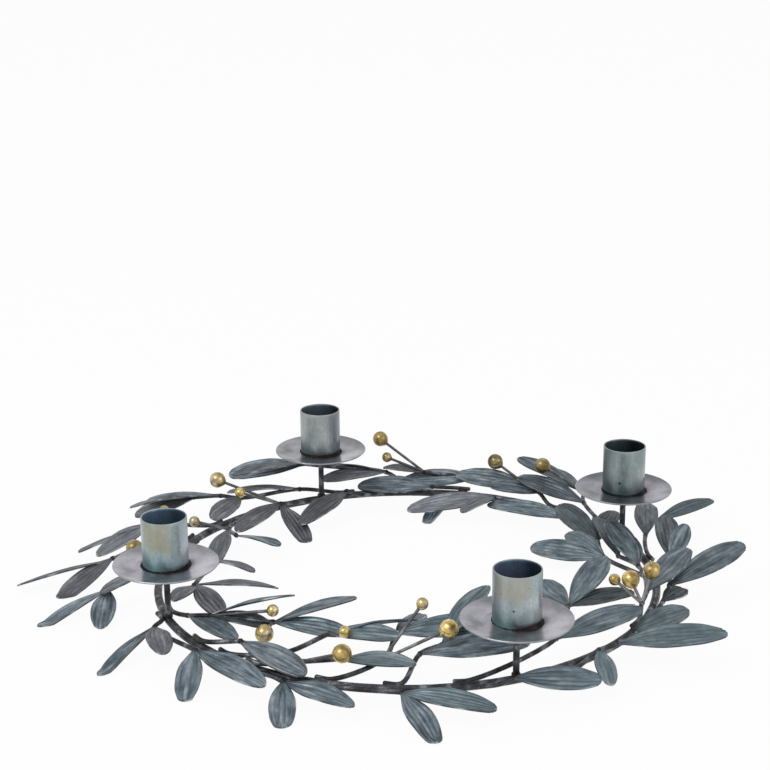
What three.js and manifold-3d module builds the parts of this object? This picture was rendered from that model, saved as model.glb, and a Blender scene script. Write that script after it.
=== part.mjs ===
// Advent candle holder: an oval rod ring carries four candle cups on drip plates and a wreath of
// leaf sprigs with small round berries. Millimetres, +Z up. The origin lies on the table under the
// middle of the whole wreath, and the leaf tips that droop lowest are the feet.
import * as THREE from 'three';
import { mergeVertices } from 'three/addons/utils/BufferGeometryUtils.js';
import Module from 'manifold-3d';

const wasm = await Module();
wasm.setup();

// Oval ring, measured along the middle of the rod
const RING_LENGTH = 282;
const RING_DEPTH = 275;
const RING_HEIGHT = 10;
const RING_ROD_DIAMETER = 4.6;

// Middle of the ring, which the longer leaves on its left put to the right of the wreath's middle
const RING_CENTRE = { x: 15, y: 0 };

// The wreath is drawn on a grid that stretches with the ring: so many squares span the ring each way
const GRID_ALONG = 282;
const GRID_DEEP = 275;

// Candle stations
const CANDLE_COUNT = 4;
const FIRST_CANDLE_ANGLE = 22.5;
const POST_DIAMETER = 3.4;
const PLATE_HEIGHT = 41.5;
const PLATE_DIAMETER = 57;
const PLATE_FLAT_DIAMETER = 32;
const PLATE_SHEET = 1;
const PLATE_DISH = 1.4;
const CUP_DIAMETER = 25;
const CUP_WALL = 0.8;
const CUP_HEIGHT = 27.5;

// Sprigs
const TWIG_DIAMETER = 2.6;
const BERRY_WIRE_DIAMETER = 1.8;
const TWIG_SEAT_DEGREES = 4;
const LEAF_SHEET = 1.2;
const LEAF_STEM_WIDTH = 2;
const LEAF_CUPPING = 1.1;
const LEAF_DROOP = -14;

// Leaf blanks and berries
const LONG = { length: 58, width: 15 };
const LARGE = { length: 50, width: 15 };
const MEDIUM = { length: 45, width: 13 };
const BROAD = { length: 40, width: 14 };
const SLIM = { length: 48, width: 10 };
const SHORT = { length: 34, width: 14 };
const SMALL = { length: 28, width: 11 };
const BIG_BERRY_DIAMETER = 10;
const SMALL_BERRY_DIAMETER = 6.6;

// Clearance between pieces that are brazed together, and between a twig and the ring rod
const BRAZE_GAP = 0.3;
const TWIG_SEAT_GAP = 0.6;

// Facets
const ROUND_SIDES = 28;
const RING_STEPS = 64;
const ROD_SIDES = 8;
const TWIG_SIDES = 6;
const TWIG_STEPS_PER_SPAN = 2;
const BERRY_SIDES = 8;
const BERRY_BANDS = 6;

// Outline of a leaf blank: share of its length, share of its width
const LEAF_STATIONS = [
  { along: 0.12, spread: 0.34 },
  { along: 0.32, spread: 0.8 },
  { along: 0.56, spread: 1 },
  { along: 0.8, spread: 0.84 },
  { along: 0.94, spread: 0.5 },
];

// Side of the ring rod that a twig is brazed to, in degrees round the rod from outwards to the top
const OUTER = 15;
const TOP = 90;
const INNER = 165;

const STEEL = { color: 0x5b626b, roughness: 0.55, metalness: 0.75 };
const LEAF_ZINC = { color: 0x66717b, roughness: 0.6, metalness: 0.6 };
const PLATE_ZINC = { color: 0x9c9ba5, roughness: 0.5, metalness: 0.65 };
const CUP_ZINC = { color: 0x8fa0a0, roughness: 0.4, metalness: 0.75 };
const GOLD = { color: 0xb8963f, roughness: 0.35, metalness: 0.9 };

const radians = THREE.MathUtils.degToRad;
const ringRodRadius = RING_ROD_DIAMETER / 2;
const twigRadius = TWIG_DIAMETER / 2;
const gridSquare = new THREE.Vector3(RING_LENGTH / GRID_ALONG, RING_DEPTH / GRID_DEEP, 1);

// A point on the grid, given by its angle round the ring, its distance outwards from the rod's
// middle line and its height above that line
function gridPoint(angle, out, up) {
  const turn = radians(angle);
  const halfAlong = GRID_ALONG / 2;
  const halfDeep = GRID_DEEP / 2;
  const across = Math.hypot(halfDeep * Math.cos(turn), halfAlong * Math.sin(turn));
  const reach = (halfAlong * halfDeep) / across + out;
  return new THREE.Vector3(reach * Math.cos(turn), reach * Math.sin(turn), RING_HEIGHT + up);
}

// The same point on the real ring
function ringPoint(angle, out, up) {
  return gridPoint(angle, out, up).multiply(gridSquare);
}

// Direction given by its heading from straight outwards (positive is counter-clockwise seen from
// above) at an angle round the ring, and its pitch above the level
function ringDirection(angle, heading, pitch) {
  const turn = radians(angle + heading);
  const level = Math.cos(radians(pitch));
  return new THREE.Vector3(level * Math.cos(turn), level * Math.sin(turn), Math.sin(radians(pitch)));
}

function leaf(blank, heading, pitch, roll = 0, droop = LEAF_DROOP) {
  return { blank, heading, pitch, roll, droop };
}

function berry(diameter, heading, pitch, wire) {
  return { diameter, heading, pitch, wire };
}

function joint(angle, out, up, leaves, berries = []) {
  return { angle, out, up, leaves, berries };
}

function sprig(seatAngle, seatSide, joints) {
  return { seatAngle, seatSide, joints };
}

// The wreath, counter-clockwise from the front left
const SPRIGS = [
  sprig(203, OUTER, [
    joint(205, 10, 0, [leaf(SLIM, 31, -8, 5), leaf(SHORT, 80, 6)]),
    joint(220, 6, 1, [leaf(BROAD, 47, -10), leaf(LONG, 92, 7, 10)]),
  ]),
  sprig(199, INNER, [
    joint(207.5, -7, 6, [leaf(BROAD, 108, 4)]),
    joint(212, -15, 8, [leaf(SHORT, 138, 0, 5), leaf(SLIM, 150, 20, -20)],
      [berry(SMALL_BERRY_DIAMETER, 135, 10, 32)]),
    joint(224.5, -38, 6, [leaf(MEDIUM, 115, 5, 15), leaf(SLIM, 135, 24, 5)],
      [berry(BIG_BERRY_DIAMETER, 31, 0, 9)]),
  ]),
  sprig(160, INNER, [
    joint(173, -27, 6, [leaf(SMALL, 172, -3, -10)]),
    joint(190.3, -20, 6, [leaf(SLIM, 172, 3, -7), leaf(SHORT, 112, -6, 10), leaf(SMALL, 62, 12)]),
  ]),
  sprig(220, TOP, [
    joint(228.2, -8, 8, [leaf(LARGE, 86, 4, 15)]),
  ]),
  sprig(241, OUTER, [
    joint(243.5, 5, 0, [leaf(SHORT, 28, -13), leaf(MEDIUM, 80, 6, 10)]),
  ]),
  sprig(227, INNER, [
    joint(238, -16, 4, []),
    joint(244.5, -41, 7, [leaf(BROAD, 95, 12, 15), leaf(SLIM, 122, 14, -20)],
      [berry(SMALL_BERRY_DIAMETER, 71, 22, 9)]),
  ]),
  sprig(237, TOP, [
    joint(244.4, -9.5, 5, [], [berry(BIG_BERRY_DIAMETER, 100, 18, 18)]),
    joint(253, -17, 6, [leaf(BROAD, 95, 8, 5)]),
  ]),
  sprig(253, INNER, [
    joint(263, -22, 5, [],
      [berry(SMALL_BERRY_DIAMETER, 143, 35, 33), berry(BIG_BERRY_DIAMETER, 105, 23, 32)]),
    joint(265.5, -48, 7.5, [leaf(LARGE, 90, 12, 28), leaf(SMALL, 150, 8)]),
  ]),
  sprig(259, OUTER, [
    joint(268, 5, 1, [leaf(BROAD, 30, -12), leaf(LARGE, 72, 5, 10)]),
  ]),
  sprig(268, INNER, [
    joint(272.6, -25, 7, [leaf(LONG, 90, 9, 28)]),
    joint(279, -32, 8, [leaf(MEDIUM, 130, 42, 0, -30)]),
  ]),
  sprig(288, OUTER, [
    joint(291, 4, 3, [leaf(MEDIUM, 62, 4, 45)]),
    joint(304, 7, 1.5, []),
    joint(313, 3, 4, [leaf(SMALL, -36, -8)]),
    joint(318, 5, 4, [leaf(LONG, 35, 13, 26)]),
    joint(323, 6, 7, [leaf(SHORT, 52, 19, 25)]),
  ]),
  sprig(283, INNER, [
    joint(309, -18, 6, [leaf(LARGE, 65, 18, 24)]),
    joint(328, -38, 6, [leaf(LARGE, 88, 20, 15), leaf(MEDIUM, 60, 4, 15), leaf(SHORT, 148, 10, -15)]),
  ]),
  sprig(333, OUTER, [
    joint(343, 5, 3, [leaf(SMALL, 70, 1, 12)]),
    joint(350, 7, 5, [leaf(LONG, 39, 18, 28)]),
    joint(6.6, 13, 3, [leaf(LARGE, 78, 15), leaf(SMALL, 48, 34, 25)]),
  ]),
  sprig(331, TOP, [
    joint(338, -4, 6, [],
      [berry(BIG_BERRY_DIAMETER, 80, 50, 14), berry(BIG_BERRY_DIAMETER, 155, 55, 9),
        berry(SMALL_BERRY_DIAMETER, 166, 30, 16)]),
    joint(343, -4, 8, [leaf(LARGE, 68, 17, 15)]),
    joint(0, -9, 6, [leaf(LARGE, 104, 17, -5), leaf(BROAD, 96, 13, 8)]),
    joint(9, -16, 4, [leaf(LARGE, 88, 13, 15)]),
  ]),
  sprig(357, INNER, [
    joint(10.5, -23, 2, [leaf(LARGE, 141, 1, -36), leaf(LARGE, 119, -9, -22), leaf(MEDIUM, 106, 5, -20)]),
    joint(23, -16, 2, [leaf(LARGE, 93, 12, -25), leaf(BROAD, 45, 14)]),
  ]),
  sprig(12, OUTER, [
    joint(21, 14, 2, [leaf(LARGE, 60, 9)]),
    joint(27, 33, 3, [leaf(SLIM, 3, 10, 20)]),
  ]),
  sprig(32, OUTER, [
    joint(43, 15, 4, [leaf(LARGE, 105, 15, -21)]),
    joint(47, 29, 5, [leaf(SLIM, 70, 8), leaf(LARGE, 105, 25, -6)],
      [berry(BIG_BERRY_DIAMETER, 125, 32, 26)]),
  ]),
  sprig(33, INNER, [
    joint(40.5, -5, 1, [leaf(LONG, 112, 6, -15)]),
  ]),
  sprig(50, OUTER, [
    joint(54.5, 10, 5, [leaf(SHORT, 105, 8, -20)]),
    joint(60, 22, 3, [leaf(LARGE, 103, 8, -32)], [berry(BIG_BERRY_DIAMETER, 97, 32, 21)]),
    joint(73, 26, 2, [leaf(LARGE, 108, 3, -28), leaf(MEDIUM, 84, 3, -5)]),
    joint(85, 22, 6, [leaf(SMALL, 95, 14)],
      [berry(BIG_BERRY_DIAMETER, 78, 34, 31), berry(SMALL_BERRY_DIAMETER, 91, 22, 23)]),
  ]),
  sprig(55, INNER, [
    joint(64, -6, 3, [leaf(LONG, 122, -1, -25), leaf(SMALL, 150, -2)]),
    joint(78, -6, -1, [leaf(SMALL, 157, -15)]),
  ]),
  sprig(76, TOP, [
    joint(82, -5, 6, [leaf(LARGE, 92, 4, -28)]),
  ]),
  sprig(88, OUTER, [
    joint(94, 22, 6, [leaf(MEDIUM, 105, 6, -15), leaf(SLIM, 84, 13, 20)]),
    joint(108, 22, 13, []),
    joint(114, 22, 17, [leaf(LARGE, 92, 7, 5), leaf(LARGE, 70, -2, -30)]),
  ]),
  sprig(101, INNER, [
    joint(106, -5, 5, [leaf(LARGE, 130, -1, -10)]),
  ]),
  sprig(116, INNER, [
    joint(125.8, -5, 4, [leaf(MEDIUM, 111, 1, -18), leaf(BROAD, 176, -17)],
      [berry(SMALL_BERRY_DIAMETER, 62, 20, 23), berry(BIG_BERRY_DIAMETER, 49, 21, 37)]),
  ]),
  sprig(107, OUTER, [
    joint(116.5, 12, 4, [leaf(SLIM, 74, 8)]),
    joint(131, 19, 4, [leaf(SHORT, 112, 1, -20)]),
    joint(134, 29, 5, [leaf(SLIM, 62, 9)]),
    joint(139, 37, 6, [leaf(SLIM, 78, 12, 20), leaf(BROAD, 64, -3, -15)]),
  ]),
  sprig(137, INNER, [
    joint(146.5, -11, 2, [leaf(MEDIUM, 114, -3)], [berry(SMALL_BERRY_DIAMETER, 37, 16, 18)]),
    joint(148, -19, 1, [leaf(SHORT, 180, 8, -15)]),
  ]),
  sprig(146, OUTER, [
    joint(155, 28, 7, [leaf(MEDIUM, 70, -6, -10), leaf(LARGE, 45, -12, 18, -4)],
      [berry(SMALL_BERRY_DIAMETER, -155, 51, 6)]),
  ]),
  sprig(157, OUTER, [
    joint(171, 33, 2, [leaf(MEDIUM, 59, -12, -15), leaf(LONG, 29, -6, 18, -4)],
      [berry(BIG_BERRY_DIAMETER, 167, 31, 12)]),
  ]),
  sprig(173, OUTER, [
    joint(181, 10, 5, [leaf(SMALL, 40, -3)]),
    joint(184.5, 28, 0, [leaf(SLIM, 34, -9), leaf(SHORT, 85, -8)]),
  ]),
];

function solidFrom(geometry) {
  geometry.deleteAttribute('normal');
  geometry.deleteAttribute('uv');
  const merged = mergeVertices(geometry);
  return new wasm.Manifold(new wasm.Mesh({
    numProp: 3,
    vertProperties: new Float32Array(merged.attributes.position.array),
    triVerts: new Uint32Array(merged.index.array),
  }));
}

function geometryFrom(solid) {
  const mesh = solid.getMesh();
  const geometry = new THREE.BufferGeometry();
  geometry.setAttribute('position', new THREE.BufferAttribute(mesh.vertProperties, 3));
  geometry.setIndex(new THREE.BufferAttribute(mesh.triVerts, 1));
  geometry.computeVertexNormals();
  return geometry;
}

function roundSection(radius, sides) {
  const corners = [];
  for (let corner = 0; corner < sides; corner += 1) {
    const turn = (2 * Math.PI * corner) / sides;
    corners.push(new THREE.Vector2(radius * Math.cos(turn), radius * Math.sin(turn)));
  }
  return new THREE.Shape(corners);
}

function rodSolid(path, radius, steps) {
  const options = { steps, extrudePath: path, bevelEnabled: false };
  return solidFrom(new THREE.ExtrudeGeometry(roundSection(radius, TWIG_SIDES), options));
}

// A leaf is a cupped lens-shaped sheet that runs from its stem to a point. It bends along its
// length, and where it would reach below the table it lies flat on it.
function leafSolid(root, angle, { blank, heading, pitch, roll, droop }) {
  const forward = ringDirection(angle, heading, pitch);
  const levelSide = ringDirection(angle, heading + 90, 0);
  const levelUp = new THREE.Vector3().crossVectors(forward, levelSide);
  const side = levelSide.clone().multiplyScalar(Math.cos(radians(roll)));
  side.addScaledVector(levelUp, Math.sin(radians(roll)));
  const up = new THREE.Vector3().crossVectors(forward, side);
  const bend = radians(droop) / blank.length;
  const vertices = [];

  const place = (along, across, lift, floor) => {
    const swing = bend * along;
    const ahead = Math.sin(swing) / bend;
    const rise = (1 - Math.cos(swing)) / bend;
    const point = root.clone();
    point.addScaledVector(forward, ahead - lift * Math.sin(swing));
    point.addScaledVector(up, rise + lift * Math.cos(swing));
    point.addScaledVector(side, across);
    point.multiply(gridSquare);
    vertices.push(point.x, point.y, Math.max(point.z, floor));
  };

  const addStation = (along, width, sheet) => {
    const cup = LEAF_CUPPING * (width / blank.width) ** 2;
    place(along, width / 2, cup, 0);
    place(along, 0, sheet / 2, sheet);
    place(along, -width / 2, cup, 0);
    place(along, 0, -sheet / 2, 0);
  };

  addStation(-twigRadius / 2, LEAF_STEM_WIDTH, LEAF_SHEET);
  for (const { along, spread } of LEAF_STATIONS) {
    addStation(along * blank.length, spread * blank.width, LEAF_SHEET);
  }
  place(blank.length, 0, 0, 0);

  const rows = LEAF_STATIONS.length + 1;
  const tip = rows * 4;
  const triangles = [0, 2, 1, 0, 3, 2];
  for (let row = 0; row < rows; row += 1) {
    for (let corner = 0; corner < 4; corner += 1) {
      const here = row * 4 + corner;
      const next = row * 4 + ((corner + 1) % 4);
      if (row === rows - 1) {
        triangles.push(here, next, tip);
      } else {
        triangles.push(here, next, here + 4, next, next + 4, here + 4);
      }
    }
  }
  return new wasm.Manifold(new wasm.Mesh({
    numProp: 3,
    vertProperties: new Float32Array(vertices),
    triVerts: new Uint32Array(triangles),
  }));
}

function berryWirePath(root, angle, { heading, pitch, wire }) {
  const end = root.clone().addScaledVector(ringDirection(angle, heading, pitch), wire);
  return new THREE.LineCurve3(root.clone().multiply(gridSquare), end.multiply(gridSquare));
}

// A smooth path with equal steps between its points, so that each joint lies on it
class TwigPath extends THREE.CatmullRomCurve3 {
  getUtoTmapping(share) {
    return share;
  }
}

// The twig lies along the ring rod at its seat, then passes through the joints
function twigPath({ seatAngle, seatSide, joints }) {
  const reach = ringRodRadius + twigRadius + TWIG_SEAT_GAP;
  const points = [seatAngle - TWIG_SEAT_DEGREES, seatAngle].map((angle) => (
    ringPoint(angle, 0, 0).addScaledVector(ringDirection(angle, 0, seatSide), reach)
  ));
  for (const { angle, out, up } of joints) {
    points.push(ringPoint(angle, out, up));
  }
  return new TwigPath(points, false, 'centripetal');
}

function sprigGeometry(plan) {
  const path = twigPath(plan);
  let solid = rodSolid(path, twigRadius, TWIG_STEPS_PER_SPAN * (path.points.length - 1));
  for (const { angle, out, up, leaves, berries } of plan.joints) {
    const root = gridPoint(angle, out, up);
    for (const shape of leaves) {
      solid = solid.add(leafSolid(root, angle, shape));
    }
    for (const fruit of berries) {
      solid = solid.add(rodSolid(berryWirePath(root, angle, fruit), BERRY_WIRE_DIAMETER / 2, 1));
    }
  }
  return geometryFrom(solid);
}

function addMesh(parent, name, geometry, finish) {
  const mesh = new THREE.Mesh(geometry, new THREE.MeshStandardMaterial(finish));
  mesh.name = name;
  parent.add(mesh);
  return mesh;
}

function addRing(parent) {
  const geometry = new THREE.TorusGeometry(RING_DEPTH / 2, ringRodRadius, ROD_SIDES, RING_STEPS);
  geometry.scale(RING_LENGTH / RING_DEPTH, 1, 1);
  addMesh(parent, 'ring', geometry, STEEL).position.z = RING_HEIGHT;
}

function latheAboutZ(profile) {
  const geometry = new THREE.LatheGeometry(profile.map(([x, y]) => new THREE.Vector2(x, y)), ROUND_SIDES);
  return geometry.rotateX(Math.PI / 2);
}

function plateGeometry() {
  const flat = PLATE_FLAT_DIAMETER / 2;
  const rim = PLATE_DIAMETER / 2;
  const seat = CUP_DIAMETER / 2 - CUP_WALL - BRAZE_GAP;
  return latheAboutZ([
    [0, 0],
    [flat, 0],
    [rim, PLATE_DISH],
    [rim, PLATE_DISH + PLATE_SHEET],
    [flat, PLATE_SHEET],
    [seat, PLATE_SHEET],
    [0, PLATE_SHEET],
  ]);
}

function cupGeometry() {
  const outer = CUP_DIAMETER / 2;
  const inner = outer - CUP_WALL;
  return latheAboutZ([
    [outer, 0],
    [outer, CUP_HEIGHT],
    [inner, CUP_HEIGHT],
    [inner, 0],
    [outer, 0],
  ]);
}

function addCandleStation(parent, angle, number) {
  const station = new THREE.Group();
  station.position.copy(ringPoint(angle, 0, 0)).setZ(0);
  const postFoot = RING_HEIGHT + ringRodRadius + BRAZE_GAP;
  const postLength = PLATE_HEIGHT - postFoot;
  const postRadius = POST_DIAMETER / 2;
  const post = new THREE.CylinderGeometry(postRadius, postRadius, postLength, ROD_SIDES);
  post.rotateX(Math.PI / 2);
  addMesh(station, `post_${number}`, post, STEEL).position.z = postFoot + postLength / 2;
  addMesh(station, `drip_plate_${number}`, plateGeometry(), PLATE_ZINC).position.z = PLATE_HEIGHT;
  addMesh(station, `candle_cup_${number}`, cupGeometry(), CUP_ZINC).position.z = PLATE_HEIGHT + PLATE_SHEET;
  parent.add(station);
}

// A berry's pole faces the end of its wire
function addBerry(parent, name, root, angle, fruit) {
  const wire = berryWirePath(root, angle, fruit);
  const outward = wire.getTangent(1);
  const radius = fruit.diameter / 2;
  const ball = addMesh(parent, name, new THREE.SphereGeometry(radius, BERRY_SIDES, BERRY_BANDS), GOLD);
  ball.quaternion.setFromUnitVectors(new THREE.Vector3(0, 1, 0), outward);
  ball.position.copy(wire.v2).addScaledVector(outward, BRAZE_GAP + radius);
}

const wreath = new THREE.Group();
wreath.position.set(RING_CENTRE.x, RING_CENTRE.y, 0);
addRing(wreath);
for (let candle = 0; candle < CANDLE_COUNT; candle += 1) {
  addCandleStation(wreath, FIRST_CANDLE_ANGLE + (360 / CANDLE_COUNT) * candle, candle + 1);
}

let berryCount = 0;
SPRIGS.forEach((plan, index) => {
  const number = String(index + 1).padStart(2, '0');
  addMesh(wreath, `leaf_sprig_${number}`, sprigGeometry(plan), LEAF_ZINC);
  for (const { angle, out, up, berries } of plan.joints) {
    for (const fruit of berries) {
      berryCount += 1;
      const name = `berry_${String(berryCount).padStart(2, '0')}`;
      addBerry(wreath, name, gridPoint(angle, out, up), angle, fruit);
    }
  }
});

const candleHolder = new THREE.Group();
candleHolder.add(wreath);

export default candleHolder;
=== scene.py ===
"""Looks of an advent candle holder: a wreath of zinc leaf sprigs round an oval rod ring.

Four posts on the ring carry drip plates with open candle cups, and gold berries stand on thin
wires among the leaves. Sizes are in metres unless a name or a docstring says millimetres.
"""

import logging
import math
import random
from dataclasses import dataclass, field
from enum import Enum
from typing import Sequence

import bmesh
import bpy
from mathutils import Matrix, Vector, noise


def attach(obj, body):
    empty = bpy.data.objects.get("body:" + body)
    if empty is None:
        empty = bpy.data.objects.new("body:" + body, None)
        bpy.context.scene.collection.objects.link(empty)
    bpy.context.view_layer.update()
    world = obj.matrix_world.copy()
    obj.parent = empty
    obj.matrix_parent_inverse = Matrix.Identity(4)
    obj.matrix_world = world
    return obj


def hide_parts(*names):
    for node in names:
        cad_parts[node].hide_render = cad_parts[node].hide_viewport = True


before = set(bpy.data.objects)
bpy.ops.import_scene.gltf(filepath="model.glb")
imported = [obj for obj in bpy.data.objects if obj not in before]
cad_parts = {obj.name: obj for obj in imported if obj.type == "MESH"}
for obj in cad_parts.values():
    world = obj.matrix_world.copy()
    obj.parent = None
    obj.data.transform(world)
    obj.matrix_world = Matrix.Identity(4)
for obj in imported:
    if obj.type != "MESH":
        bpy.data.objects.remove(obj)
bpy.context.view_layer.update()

log = logging.getLogger("candle_holder")

Pair = tuple[float, float]
Triple = tuple[float, float, float]
Socket = bpy.types.NodeSocket

MM = 0.001
UP = Vector((0.0, 0.0, 1.0))
BODY = "root"
SMOOTH_LIMIT = math.radians(40)
WELD = 1e-6

# Softened ends of rods, as shares of the radius: how wide the end face is, and how far back it starts
ROD_END_SHARE = 0.6
ROD_END_LENGTH = 0.45

LEAF_LAYERS = ("blade", "look", "shade")

# Degrees round the ring of the first candle, and the radians that each station's tints are turned by
FIRST_CANDLE_ANGLE = 22.5
CUP_TURNS = (0.0, 0.35, -0.1, 0.15)

# Seed of the draws that make the leaves differ
CHANCE = 24


class Slot(Enum):
    """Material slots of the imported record."""

    STEEL = "dark_steel"
    PLATE = "plate_zinc"
    CUP = "cup_zinc"
    LEAF = "leaf_zinc"
    GOLD = "berry_gold"


class Side(Enum):
    """Side of the ring rod a twig is brazed to: degrees round the rod from outwards to the top."""

    OUTER = 15.0
    TOP = 90.0
    INNER = 165.0


class Blank(Enum):
    """Leaf blanks: length and greatest width in millimetres."""

    LONG = (58.0, 15.0)
    LARGE = (50.0, 15.0)
    MEDIUM = (45.0, 13.0)
    BROAD = (40.0, 14.0)
    SLIM = (48.0, 10.0)
    SHORT = (34.0, 14.0)
    SMALL = (28.0, 11.0)


class BerrySize(Enum):
    """Berry diameters in millimetres."""

    BIG = 10.0
    LITTLE = 6.6


# Short names for the plan
OUTER, TOP, INNER = Side
LONG, LARGE, MEDIUM, BROAD, SLIM, SHORT, SMALL = Blank
BIG, LITTLE = BerrySize


@dataclass(frozen=True)
class Leaf:
    """One leaf: its blank and, in degrees, where it points, how it is rolled and how it droops.

    Its tone is how light the leaf is beside its neighbours: partly its own colour, and partly painted light
    and shade for where it lies in the light.
    """

    blank: Blank
    heading: float
    pitch: float
    roll: float = 0.0
    droop: float = -14.0
    tone: float = 1.0


@dataclass(frozen=True)
class Berry:
    """One berry: its size, where its wire points in degrees, and the wire's length in millimetres.

    Its tone is how light the berry is beside the others, partly its own colour and partly painted light and
    shade, and its wire is bare metal or darkened.
    """

    size: BerrySize
    heading: float
    pitch: float
    wire: float
    tone: float = 1.0
    bare_wire: bool = False


@dataclass(frozen=True)
class Joint:
    """A point of a twig: degrees round the ring, millimetres outwards and up, and what grows there."""

    angle: float
    out: float
    up: float
    leaves: Sequence[Leaf] = ()
    berries: Sequence[Berry] = ()


@dataclass(frozen=True)
class SprigPlan:
    """A sprig: where it is brazed to the ring, and the joints its twig passes through."""

    seat_angle: float
    seat_side: Side
    joints: Sequence[Joint]


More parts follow.
